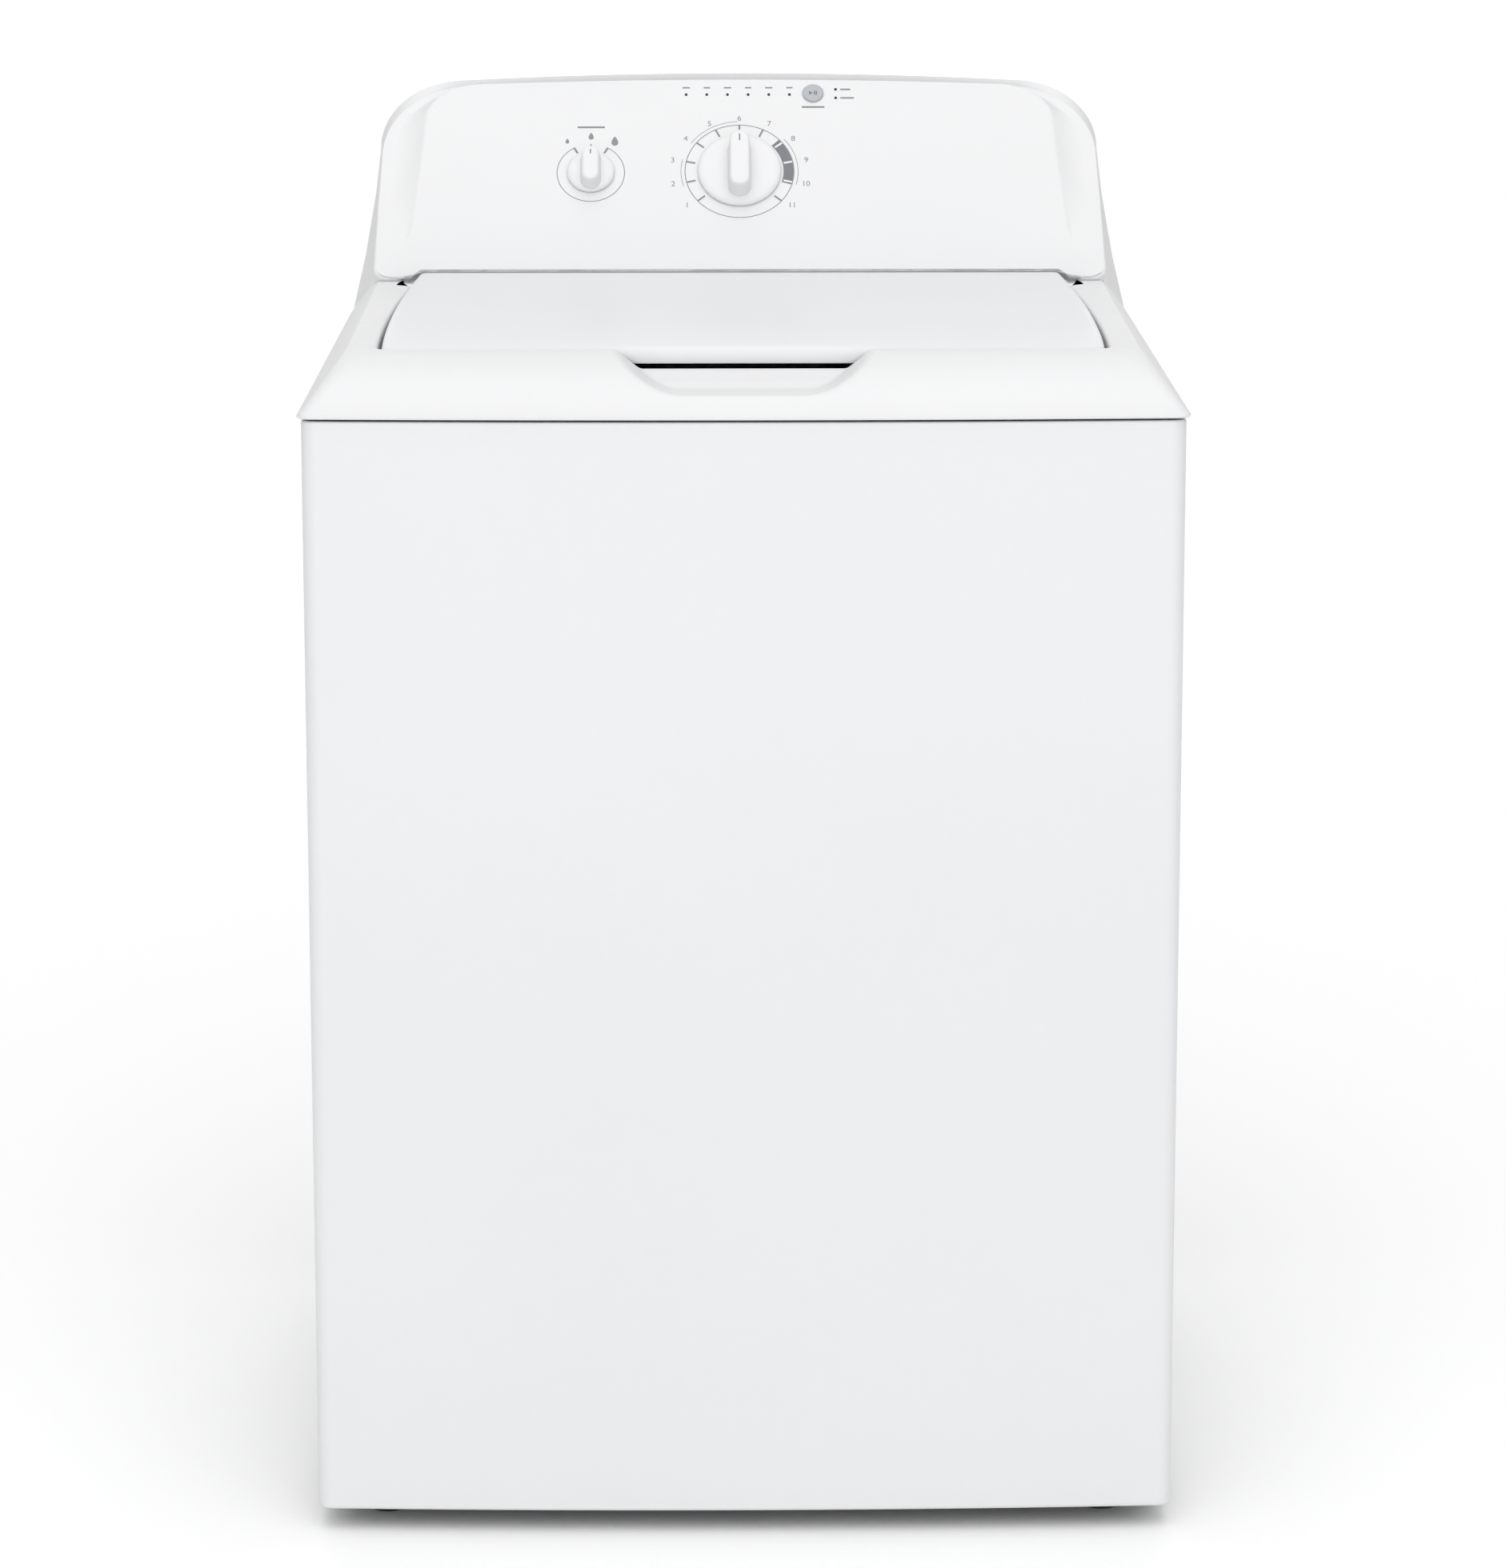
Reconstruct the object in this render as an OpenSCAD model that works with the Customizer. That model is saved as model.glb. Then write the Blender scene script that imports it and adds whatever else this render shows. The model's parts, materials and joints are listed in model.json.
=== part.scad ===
// Top load washing machine: cabinet, deck, lid, console, suspended tub, basket, agitator and belt drive.
// Millimetres, +Z up, front faces -Y, origin on the floor under the middle of the machine.

/* [Cabinet] */
// Width over the two side panels
cab_w = 686; // [640:1:700]
// Height of the cabinet's top edge above the floor
cab_top = 900; // [880:1:920]
// Height of the panels' bottom edge above the floor
cab_bottom = 18; // [14:1:24]
// How far the front panel bows forward at its middle
bow = 8; // [4:1:12]
// Thickness of the painted steel sheet
sheet = 1.2; // [0.8:0.1:2]

/* [Deck] */
// Width over the deck's bottom edge
deck_w = 692; // [688:1:706]
// Height of the deck's top rim above the floor
deck_top = 948; // [944:1:952]
// Width of the flat top rim from side to side
rim_w = 626; // [610:1:640]
// Depth of the sloping front fascia, front to back
fascia_d = 60; // [50:1:64]
// Thickness of the moulded deck
deck_wall = 3; // [2.5:0.1:4]

/* [Lid] */
// Half of the lid's width at its front edge
lid_half_front = 284; // [280:1:285]
// Half of the lid's width at its back edge
lid_half_back = 277; // [272:1:278]
// Height of the lid's front top edge
lid_top = 950; // [949:1:952]
// How far the lid's top rises towards the hinge
lid_rise = 6; // [2:1:7]

/* [Console] */
// Tilt of the control face back from upright
face_tilt = 38; // [36:1:40]
// Length of the control face up its slope
face_len = 195; // [190:1:198]
// Overall height of the machine
total_h = 1118; // [1116:1:1124]

/* [Knobs] */
// Diameter of the cycle knob's skirt
cycle_d = 73; // [66:1:80]
// Height of the cycle knob above the face
cycle_h = 24; // [18:1:26]
// Diameter of the load size knob's skirt
load_d = 41.5; // [36:0.5:46]
// Height of the load size knob above the face
load_h = 18; // [14:1:22]
// Diameter of the start button
button_d = 17.7; // [14:0.1:20]

/* [Tub] */
// Outer radius of the tub
tub_r = 280; // [276:1:282]
// Inner radius of the basket
basket_r = 262; // [258:1:264]
// Height of the basket's rim
basket_top = 826; // [810:1:828]
// Height of the agitator's cap
agitator_top = 745; // [640:1:760]

/* [Drive] */
// Radius of the large pulley
drive_r = 92; // [80:1:96]
// Radius of the motor's pulley
motor_r = 22; // [18:1:26]
// Distance between the two pulleys' axes
belt_span = 165; // [155:1:170]

/* [Hidden] */
$fn = 96;

// Small step that carries a cut past a surface
over = 0.5;
// Radial play of a running fit
play = 0.06;
// Number of steps in a drawn curve
steps = 20;

// Cabinet planes
front_y = -333;
rear_y = 325;
side_x = cab_w / 2;
corner_r = 12;
flange = 20;
edge_gap = 0.4;

// Deck
seam = 4;
deck_z = cab_top + seam;
deck_front_y = front_y - 2;
deck_rear_y = 330;
deck_side = (deck_w - rim_w) / 2;
pan_z = 915;
pan_t = 3;
recess_gap = 3;
swing_gap = 6;
ledge_y = -246;
ledge_z = 931;

// Water valve and the spout under it
spout_x = 180;
valve_x = [spout_x - 25, spout_x + 25];
valve_z = 985;
port_r = 17;
cover_screw_r = 2.4;

// Lid and its hinge
lid_front_y = -265;
lid_back_y = 187;
lid_rim_z = 936;
lid_bulge = 5.5;
hinge_y = 174;
hinge_z = 944;
pin_r = 4;
finger_half = 110;
finger_back_y = -235;

// Console face
face_y = 192;
face_z = 960;
face_t = 3;

// Drive axis and pump axis
axis_y = -12;
pump_x = -150;
pump_y = -150;
shaft_r = 9.94;
tube_in_r = 10;
tube_r = 16;

// Depth of the control board behind the face
board_h = -22;
board_t = 1.6;

// Places of the controls on the face, across and up the slope
cycle_at = [0, 97.5];
load_at = [-130, 96];
start_at = [65, 178];
led_r = 1.25;
led_at = concat([for (i = [0:5]) [-46.7 + 18.2 * i, 177]], [[85, 182.4], [85, 173.5]]);

// Suspension rods stand at the four corners
rod_x = 225;
rod_y = 215;
rod_r = 4;
ear_z = 375;
rod_low = 300;

// Foot places and the lid lock's place
foot_x = 290;
foot_y = 270;
lock_x = 250;
lock_y = -120;
bolt_z = 900;

module at_axis() {
    translate([0, axis_y, 0]) children();
}

module on_face(p = [0, 0], h = 0) {
    translate([0, face_y, face_z]) rotate([90 - face_tilt, 0, 0]) translate([p[0], p[1], h]) children();
}

module ring(r_out, r_in, z0, z1) {
    translate([0, 0, z0]) difference() {
        cylinder(r = r_out, h = z1 - z0);
        translate([0, 0, -over]) cylinder(r = r_in, h = z1 - z0 + 2 * over);
    }
}

module box(low, high) {
    translate(low) cube(high - low);
}

// Drawn along Y, from y0 to y1, from an outline in X and Z
module along_y(y0, y1) {
    translate([0, y1, 0]) rotate([90, 0, 0]) linear_extrude(y1 - y0) children();
}

// Drawn across X from an outline in Y and Z
module across_x(half) {
    translate([-half, 0, 0]) rotate([90, 0, 90]) linear_extrude(2 * half) children();
}

module four_corners(x, y) {
    for (sx = [-1, 1], sy = [-1, 1]) translate([sx * x, sy * y, 0]) children();
}

// ---- Cabinet ----

// Plan of the front: a shallow bow between two rounded corners, closed at the back
function front_plan(half, y, sag, r, back) = concat(
    [[-half, back]],
    [for (i = [0:6]) [-half + r - r * cos(i * 15), y + r - r * sin(i * 15)]],
    [for (i = [1:steps - 1]) let (t = -1 + 2 * i / steps) [(half - r) * t, y - sag * (1 - t * t)]],
    [for (i = [6:-1:0]) [half - r + r * cos(i * 15), y + r - r * sin(i * 15)]],
    [[half, back]]
);

module front_panel() {
    back = front_y + corner_r + 10;
    color("white") union() {
        translate([0, 0, cab_bottom]) linear_extrude(cab_top - cab_bottom) difference() {
            polygon(front_plan(side_x, front_y, bow, corner_r, back));
            polygon(front_plan(side_x - sheet, front_y + sheet, bow, corner_r - sheet, back + over));
        }
        for (z = [cab_bottom, cab_top - sheet]) translate([0, 0, z]) linear_extrude(sheet)
            polygon(front_plan(side_x - sheet / 2, front_y + sheet / 2, bow, corner_r, back));
    }
}

// Side wall with its inward flanges; the left one as drawn
module side_wall() {
    y0 = front_y + corner_r + 10 + edge_gap;
    difference() {
        box([-side_x, y0, cab_bottom], [-side_x + flange, rear_y - sheet, cab_top]);
        box([-side_x + sheet, y0 + sheet, cab_bottom + sheet], [side_x, rear_y - 2 * sheet, cab_top - sheet]);
        box([-side_x + sheet, y0 + 3 * flange, cab_top - 2 * sheet], [side_x, rear_y - 2 * flange, cab_top + over]);
    }
}

module cabinet_side_left() {
    color("white") side_wall();
}

module cabinet_side_right() {
    color("white") mirror([1, 0, 0]) side_wall();
}

module rear_panel() {
    rib_z = [180, 420, 660];
    color("gainsboro") difference() {
        union() {
            box([-side_x, rear_y - sheet + edge_gap, cab_bottom], [side_x, rear_y + edge_gap, cab_top]);
            for (z = rib_z) box([-260, rear_y, z], [260, rear_y + 3, z + 26]);
        }
        translate([-250, 0, 780]) rotate([-90, 0, 0]) translate([0, 0, rear_y - 10]) cylinder(r = 19, h = 30);
        translate([285, 0, 840]) rotate([-90, 0, 0]) translate([0, 0, rear_y - 10]) cylinder(r = 11, h = 30);
    }
}

// A channel open at its bottom, centred on the origin in plan
module channel(x, y, h) {
    wall = 2;
    translate([0, 0, h / 2]) difference() {
        cube([x, y, h], center = true);
        translate([0, 0, -wall]) cube([x - 2 * wall, y - 2 * wall, h], center = true);
    }
}

// Two side rails and two cross members, each a separate channel
module base_frame() {
    rail_h = 26;
    rail_w = 56;
    z0 = cab_bottom + sheet + edge_gap;
    color("dimgray") translate([0, 0, z0]) {
        for (s = [-1, 1]) translate([s * foot_x, 0, 0]) difference() {
            union() {
                channel(rail_w, 2 * foot_y + 60, rail_h);
                for (sy = [-1, 1]) translate([0, sy * foot_y, 0]) cylinder(r = 11, h = rail_h - 1);
            }
            for (sy = [-1, 1]) translate([0, sy * foot_y, -over]) cylinder(r = 6 + play, h = 60);
        }
        for (s = [-1, 1]) translate([0, s * foot_y, 0])
            channel(2 * foot_x - rail_w + 2, 36, rail_h);
    }
}

// A levelling foot: rubber pad, hexagon and threaded stud
module foot() {
    color("black") union() {
        rotate_extrude() polygon([[0, 0], [17, 0], [19, 2], [19, 6], [10, 9], [0, 9]]);
        translate([0, 0, 9]) cylinder(r = 11, h = 7, $fn = 6);
        translate([0, 0, 16]) cylinder(r = 6, h = 44);
    }
}

module foot_front_left() {
    translate([-foot_x, -foot_y, 0]) foot();
}

module foot_front_right() {
    translate([foot_x, -foot_y, 0]) foot();
}

module foot_rear_left() {
    translate([-foot_x, foot_y, 0]) foot();
}

module foot_rear_right() {
    translate([foot_x, foot_y, 0]) foot();
}

// ---- Deck ----

// Section across the deck: upright at the seam, curving in to the flat rim
function deck_section(inset, z0) = concat(
    [for (i = [0:9]) [
        rim_w / 2 + (deck_side - inset) * cos(i * 10),
        deck_z + (deck_top - inset - deck_z) * sin(i * 10)
    ]],
    [for (i = [9:-1:0]) [
        -rim_w / 2 - (deck_side - inset) * cos(i * 10),
        deck_z + (deck_top - inset - deck_z) * sin(i * 10)
    ]],
    [[-deck_w / 2 + inset, z0], [deck_w / 2 - inset, z0]]
);

// Section front to back: the fascia curves back from the seam up to the rim
function deck_side_section(inset, z0) = concat(
    [[deck_front_y - bow + inset, z0]],
    [for (i = [0:9]) [
        deck_front_y - bow + fascia_d - (fascia_d - inset) * cos(i * 10),
        deck_z + (deck_top - inset - deck_z) * sin(i * 10)
    ]],
    [[deck_rear_y - inset, deck_top - inset], [deck_rear_y - inset, z0]]
);

module deck_form(inset, z0) {
    intersection() {
        along_y(deck_front_y - bow - over, deck_rear_y + over) polygon(deck_section(inset, z0));
        across_x(deck_w) polygon(deck_side_section(inset, z0));
        translate([0, 0, z0 - over]) linear_extrude(100) polygon(front_plan(deck_w / 2 - inset,
            deck_front_y + inset, bow, 16 - inset, deck_rear_y - inset));
    }
}

function lid_half(t) = lid_half_front + (lid_half_back - lid_half_front) * t + 4 * lid_bulge * t * (1 - t);

// Plan of the lid, grown by g on every side
function lid_plan(g) = let (n = 16, depth = lid_back_y - lid_front_y, r = 7) concat(
    [for (i = [0:n]) let (t = i / n) [
        lid_half(t) + g - (i == 0 || i == n ? r : 0), lid_front_y - g + (depth + 2 * g) * t
    ]],
    [for (i = [n:-1:0]) let (t = i / n) [
        -lid_half(t) - g + (i == 0 || i == n ? r : 0), lid_front_y - g + (depth + 2 * g) * t
    ]]
);

// Finger scoop: wide at the rim, S-curved down to a narrow flat bottom
scoop_top = 110;
scoop_bottom = 51;
scoop_z = 919;
scoop_back_y = -262;
function scoop_side(s) = [for (i = [0:10]) let (t = i / 10) [
    s * (scoop_bottom + (scoop_top - scoop_bottom) * (t + sin(360 * t) / 12)),
    scoop_z + (deck_top + 1 - scoop_z) * (1 - cos(180 * t)) / 2
]];

module scoop_cut() {
    flip = scoop_side(-1);
    along_y(deck_front_y - bow - over, scoop_back_y) polygon(concat(
        scoop_side(1), [[scoop_top, deck_top + 9], [-scoop_top, deck_top + 9]], [for (i = [10:-1:0]) flip[i]]
    ));
}

// Rounded loading opening, grown by g
module mouth(g = 0) {
    r = 90;
    x = 225 + g - r;
    y0 = -232 - g + r;
    y1 = 152 + g - r;
    union() {
        translate([-x, y0 - r]) square([2 * x, y1 - y0 + 2 * r]);
        translate([-x - r, y0]) square([2 * (x + r), y1 - y0]);
        for (sx = [-1, 1], y = [y0, y1]) translate([sx * x, y]) circle(r = r);
    }
}

module top_cover() {
    collar_z = 890;
    service_low = 200;
    service_high = 322;
    boss_x = 281.5;
    color("white") difference() {
        union() {
            difference() {
                deck_form(0, deck_z);
                deck_form(deck_wall, deck_z - 1);
            }
            intersection() {
                deck_form(0, deck_z);
                union() {
                    box([-scoop_top - 8, deck_front_y - bow, deck_z + 2], [scoop_top + 8, -250, deck_top + 1]);
                    translate([0, 0, pan_z]) linear_extrude(40) difference() {
                        polygon(lid_plan(recess_gap + deck_wall));
                        polygon(lid_plan(recess_gap));
                    }
                    translate([0, 0, pan_z]) linear_extrude(pan_t) polygon(lid_plan(recess_gap + 1));
                    box([-lid_half_front, lid_front_y - recess_gap, pan_z], [lid_half_front, ledge_y, ledge_z]);
                    for (s = [-1, 1]) box([min(s * boss_x, s * 296), 164, pan_z],
                        [max(s * boss_x, s * 296), 184, deck_top]);
                }
            }
            translate([0, 0, collar_z]) linear_extrude(pan_z + 1 - collar_z) difference() {
                mouth(deck_wall);
                mouth();
            }
            box([-330, deck_rear_y - 7, cab_top + edge_gap], [330, deck_rear_y - 4, deck_z + 6]);
            box([-330, deck_rear_y - 7, deck_z + 3], [330, deck_rear_y - 2, deck_z + 6]);
            box([-lid_half_back - 8, lid_back_y, pan_z], [lid_half_back + 8, lid_back_y + 10, deck_top - 1]);
        }
        translate([0, 0, pan_z + pan_t]) linear_extrude(60) polygon(concat(
            [[-lid_half_front - 2, ledge_y], [lid_half_front + 2, ledge_y]],
            [[lid_half(0.5) + recess_gap, -40], [lid_half_back + recess_gap, lid_back_y + swing_gap]],
            [[-lid_half_back - recess_gap, lid_back_y + swing_gap], [-lid_half(0.5) - recess_gap, -40]]
        ));
        translate([0, 0, ledge_z]) linear_extrude(60) polygon(lid_plan(recess_gap));
        box([-lid_half_back - recess_gap, 150, ledge_z],
            [lid_half_back + recess_gap, lid_back_y + swing_gap, ledge_z + 60]);
        scoop_cut();
        translate([0, 0, 800]) linear_extrude(300) mouth();
        box([-262, service_low, 850], [262, service_high, 1000]);
        for (s = [-1, 1]) translate([s * 270, hinge_y, hinge_z]) rotate([0, s * 90, 0])
            cylinder(r = pin_r + play, h = 24);
        box([lock_x - 5, lock_y - 18, 880], [lock_x + 5, lock_y + 14, 930]);
    }
}

// ---- Console ----

// Outline of the control face, across and up the slope, grown by g
function face_outline(g) = let (top = face_len - 5, shoulder = 132, low_r = 14) concat(
    [for (i = [0:6]) [-318 - g + low_r * (1 - sin(i * 15)), -g + low_r * (1 - cos(i * 15))]],
    [for (i = [0:8]) [-260 - (56 + g) * cos(i * 11.25), shoulder + (top - 8 + g - shoulder) * sin(i * 11.25)]],
    [for (i = [1:11]) let (t = -1 + i / 6) [260 * t, top - 8 + g + 8 * (1 - t * t)]],
    [for (i = [8:-1:0]) [260 + (56 + g) * cos(i * 11.25), shoulder + (top - 8 + g - shoulder) * sin(i * 11.25)]],
    [for (i = [6:-1:0]) [318 + g - low_r * (1 - sin(i * 15)), -g + low_r * (1 - cos(i * 15))]]
);

// Central panel of the face, inside the turned-back side facets
function centre_outline(g) = [
    [-297 - g, 2], [-278 - g, face_len - 30], [-258, face_len - 10],
    [0, face_len - 3 + g], [258, face_len - 10], [278 + g, face_len - 30], [297 + g, 2]
];

module face_form(g, drop) {
    hull() {
        on_face([0, 0], -drop - 1) linear_extrude(1) polygon(centre_outline(g));
        on_face([0, 0], -drop - 14) linear_extrude(1) polygon(face_outline(g));
    }
}

module console_front() {
    color("white") difference() {
        face_form(0, 0);
        difference() {
            face_form(-face_t, face_t);
            on_face([0, 0], -40) linear_extrude(26 - face_t) square([800, 20], center = true);
        }
        on_face(cycle_at, -40) cylinder(r = 5, h = 60);
        on_face(load_at, -40) cylinder(r = 5, h = 60);
        on_face(start_at, -40) cylinder(r = button_d / 2 + 0.3, h = 60);
        for (p = led_at) on_face(p, -40) cylinder(r = led_r + 0.05, h = 60);
    }
}

// Rear outline of the console, across and up, at the back of the machine
function rear_outline(g) = concat(
    [[-344 - g, 909], [-335 - g, 955], [-322 - g, 1062]],
    [for (i = [1:5]) [-262 - (58 + g) * cos(i * 18), 1062 + (total_h - 8 + g - 1062) * sin(i * 18)]],
    [for (i = [0:8]) let (t = -1 + i / 4) [250 * t, total_h - 8 + g + 8 * (1 - t * t)]],
    [for (i = [5:-1:1]) [262 + (58 + g) * cos(i * 18), 1062 + (total_h - 8 + g - 1062) * sin(i * 18)]],
    [[322 + g, 1062], [335 + g, 955], [344 + g, 909]]
);

module body_form(g, rear) {
    hull() {
        on_face([0, 0], -16) linear_extrude(1) polygon(face_outline(g));
        translate([0, rear, 0]) rotate([90, 0, 0]) linear_extrude(1) polygon(rear_outline(g));
    }
}

module console_body() {
    low = 909;
    color("whitesmoke") difference() {
        intersection() {
            body_form(0, deck_rear_y);
            box([-400, 180, low], [400, deck_rear_y - 2, total_h]);
        }
        deck_form(-edge_gap, low - 20);
        body_form(-3, deck_rear_y + 3);
        on_face([0, 0], -15.4) linear_extrude(60) square([900, 500], center = true);
    }
}

module console_rear_cover() {
    color("gainsboro") difference() {
        translate([0, deck_rear_y, 0]) rotate([90, 0, 0]) linear_extrude(1.5)
            intersection() {
                polygon(rear_outline(-0.5));
                translate([-400, deck_top + edge_gap]) square([800, 300]);
            }
        for (x = valve_x) translate([x, 300, valve_z]) rotate([-90, 0, 0]) cylinder(r = port_r, h = 60);
        for (x = [-300, -100, 100, 300]) translate([x, 300, 965]) rotate([-90, 0, 0])
            cylinder(r = cover_screw_r, h = 60);
    }
}

module control_board() {
    color("seagreen") difference() {
        union() {
            on_face([-160, 68], board_h) cube([270, 116, board_t]);
            on_face([-60, 125], board_h + board_t) cube([50, 30, 9]);
            on_face([start_at[0] - 5, start_at[1] - 5], board_h + board_t) cube([10, 10, 5]);
        }
        on_face(cycle_at, -60) cylinder(r = 3.6, h = 60);
        on_face(load_at, -60) cylinder(r = 3.6, h = 60);
    }
}

module rotary_encoders() {
    color("dimgray") for (p = [cycle_at, load_at]) on_face(p, board_h + board_t) difference() {
        union() {
            translate([-12, -12, 0]) cube([24, 24, 8]);
            cylinder(r = 4.5, h = 13);
        }
        translate([0, 0, -over]) cylinder(r = 3 + play, h = 20);
    }
}

module knob_shaft(top) {
    translate([0, 0, board_h - 2]) cylinder(r = 3, h = top - board_h + 2);
}

module cycle_knob_shaft() {
    color("silver") on_face(cycle_at) knob_shaft(7);
}

module load_knob_shaft() {
    color("silver") on_face(load_at) knob_shaft(6);
}

// A dial knob: coned skirt, grip bar across it and a socket for its shaft
module knob(d, h, grip_w, grip_l, shaft_top) {
    difference() {
        union() {
            translate([0, 0, 0.6]) rotate_extrude() polygon([[0, 0], [d / 2, 0], [d / 2 - 0.6, 3.4], [d / 2 - 3, 5], [0, 5]]);
            intersection() {
                translate([-grip_w / 2, -grip_l / 2, 1]) cube([grip_w, grip_l, h - 1]);
                cylinder(r = grip_l / 2, h = h);
            }
        }
        cylinder(r = 3 + play, h = shaft_top);
    }
}

module cycle_knob() {
    color("white") on_face(cycle_at) knob(cycle_d, cycle_h, 19.5, 58, 7);
}

module load_knob() {
    color("white") on_face(load_at) knob(load_d, load_h, 17, 37, 6);
}

module start_button() {
    color("silver") on_face(start_at) union() {
        translate([0, 0, -4]) cylinder(r = button_d / 2, h = 5.5);
        translate([0, 0, board_h + board_t + 7.2]) cylinder(r = 2.5, h = 10);
    }
}

module status_leds() {
    color("black") for (p = led_at) on_face(p, board_h + board_t) cylinder(r = led_r, h = 0.3 - board_h - board_t);
}

module pressure_sensor() {
    color("black") union() {
        on_face([-150, 20], -50) cylinder(r = 22, h = 14);
        on_face([-150, 20], -60) cylinder(r = 3, h = 12);
    }
}

// ---- Water inlet, lid lock and outlets ----

module inlet_valve() {
    color("ivory") union() {
        box([spout_x - 42, 296, 966], [spout_x + 42, 320, 1004]);
        for (x = valve_x) translate([x, 318, valve_z]) rotate([-90, 0, 0]) cylinder(r = 13.2, h = 25);
        for (x = valve_x) translate([x, 308, 1003]) cylinder(r = 13, h = 30);
        translate([spout_x, 308, 940]) cylinder(r = 9, h = 28);
    }
}

module fill_spout() {
    color("white") difference() {
        union() {
            box([spout_x - 18, 136, 860], [spout_x + 18, 322, 882]);
            translate([spout_x, 308, 880]) cylinder(r = 12, h = 59.6);
            box([spout_x - 50, 136, 860], [spout_x - 17, 160, 882]);
        }
        box([spout_x - 16, 138, 862], [spout_x + 16, 320, 880]);
        box([spout_x - 48, 138, 862], [spout_x - 14, 158, 880]);
        box([spout_x - 44, 130, 863], [spout_x + 12, 140, 879]);
        translate([spout_x, 308, 870]) cylinder(r = 9, h = 80);
    }
}

module lid_lock() {
    color("dimgray") difference() {
        box([lock_x - 12, lock_y - 26, 870], [lock_x + 30, lock_y + 22, pan_z - edge_gap]);
        box([lock_x - 5, lock_y - 18, 874], [lock_x + 5, lock_y + 14, 930]);
        translate([lock_x - 8, lock_y, bolt_z]) rotate([0, 90, 0]) cylinder(r = 3.5 + play, h = 60);
    }
}

module lock_bolt() {
    color("silver") translate([lock_x + 6, lock_y, bolt_z]) rotate([0, 90, 0]) cylinder(r = 3.5, h = 22);
}

module power_cord_gland() {
    color("black") translate([285, rear_y - 6, 840]) rotate([-90, 0, 0]) difference() {
        union() {
            cylinder(r = 10.8, h = 14);
            translate([0, 0, 6.6]) cylinder(r = 14, h = 8);
        }
        translate([0, 0, -over]) cylinder(r = 4.2, h = 30);
    }
}

module drain_outlet() {
    color("gray") translate([-250, 0, 780]) rotate([-90, 0, 0]) difference() {
        union() {
            translate([0, 0, 296]) cylinder(r = 11, h = 47);
            translate([0, 0, rear_y - 4]) cylinder(r = 18, h = 3);
            translate([0, 0, rear_y - 4]) cylinder(r = 16, h = 12);
        }
        translate([0, 0, 280]) cylinder(r = 8.5, h = 80);
    }
}

// ---- Suspension ----

module rod_sockets() {
    color("dimgray") at_axis() four_corners(rod_x, rod_y) difference() {
        translate([-20, -20, 872]) cube([40, 40, 20]);
        translate([0, 0, 860]) cylinder(r = rod_r + 0.5, h = 60);
    }
}

module suspension_rods() {
    color("silver") at_axis() four_corners(rod_x, rod_y) union() {
        translate([0, 0, rod_low]) cylinder(r = rod_r, h = 893 - rod_low);
        translate([0, 0, rod_low]) cylinder(r = 14, h = 4);
        translate([0, 0, 892]) cylinder(r = 9, h = 6);
    }
}

// Drawn as a stack of turns, one closed ring to a turn
module suspension_springs() {
    turns = 7;
    pitch = 9.6;
    color("gray") at_axis() four_corners(rod_x, rod_y) for (i = [0:turns - 1])
        translate([0, 0, rod_low + 7 + i * pitch]) rotate_extrude($fn = 24) translate([10, 0]) circle(r = 2, $fn = 16);
}

// ---- Tub ----

module outer_tub() {
    ear_x = rod_x;
    color("lightgray") at_axis() difference() {
        union() {
            ring(tub_r, tub_r - 4, 262, 800);
            ring(tub_r, 30, 262, 266);
            ring(40, 31, 244, 300);
            for (a = [0:45:315]) rotate(a) translate([45, -2, 246]) cube([134, 4, 17]);
            four_corners(ear_x, rod_y) translate([0, 0, ear_z]) cylinder(r = 20, h = 10);
            for (sx = [-1, 1], sy = [-1, 1]) rotate(atan2(sy * rod_y, sx * ear_x))
                translate([tub_r - 3, -16, ear_z]) cube([30, 32, 10]);
            translate([-tub_r - 10, -20, 300]) cube([16, 40, 40]);
        }
        four_corners(ear_x, rod_y) translate([0, 0, ear_z - 10]) cylinder(r = rod_r + 2.5, h = 40);
        translate([pump_x, pump_y - axis_y, 240]) cylinder(r = 12, h = 40);
        translate([-tub_r - 6, -16, 304]) cube([20, 32, 32]);
        translate([-tub_r - 5, 0, 330]) cylinder(r = 3, h = 20);
    }
}

module tub_cover() {
    color("gainsboro") at_axis() union() {
        ring(tub_r + 4, tub_r + edge_gap, 786, 845);
        ring(tub_r + 4, 245, 841, 845);
        ring(tub_r + 4, tub_r - 4, 800 + edge_gap, 806);
    }
}

module gear_case() {
    color("silver") at_axis() difference() {
        union() {
            translate([0, 0, 150]) cylinder(r = 70, h = 90);
            translate([-80, -24, 160]) cube([20, 48, 60]);
        }
        translate([0, 0, 156]) cylinder(r = 62, h = 78);
        translate([0, 0, 140]) cylinder(r = 8 + play, h = 30);
        translate([0, 0, 230]) cylinder(r = tube_r + play, h = 30);
    }
}

module drive_motor() {
    color("dimgray") translate([belt_span, axis_y, 0]) difference() {
        union() {
            translate([0, 0, 132]) cylinder(r = 60, h = 104);
            for (a = [0:30:330]) rotate(a) translate([58, -2, 140]) cube([6, 4, 88]);
        }
        translate([0, 0, 120]) cylinder(r = 6 + play, h = 60);
    }
}

module motor_bracket() {
    color("gray") translate([belt_span, axis_y, 0]) union() {
        translate([-60, -66, 236]) cube([122, 132, 5]);
        for (x = [-50, 45], y = [-56, 56]) translate([x, y, 241]) cylinder(r = 8, h = 21);
    }
}

// Outline of a band round both pulleys: an arc on each and straight runs between them
function band(r_big, r_small, d) = let (lean = acos((r_big - r_small) / d), n = 24) concat(
    [for (i = [0:n]) let (a = lean + (360 - 2 * lean) * i / n) [r_big * cos(a), r_big * sin(a)]],
    [for (i = [0:n]) let (a = -lean + 2 * lean * i / n) [d + r_small * cos(a), r_small * sin(a)]]
);

groove = 6;

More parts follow.
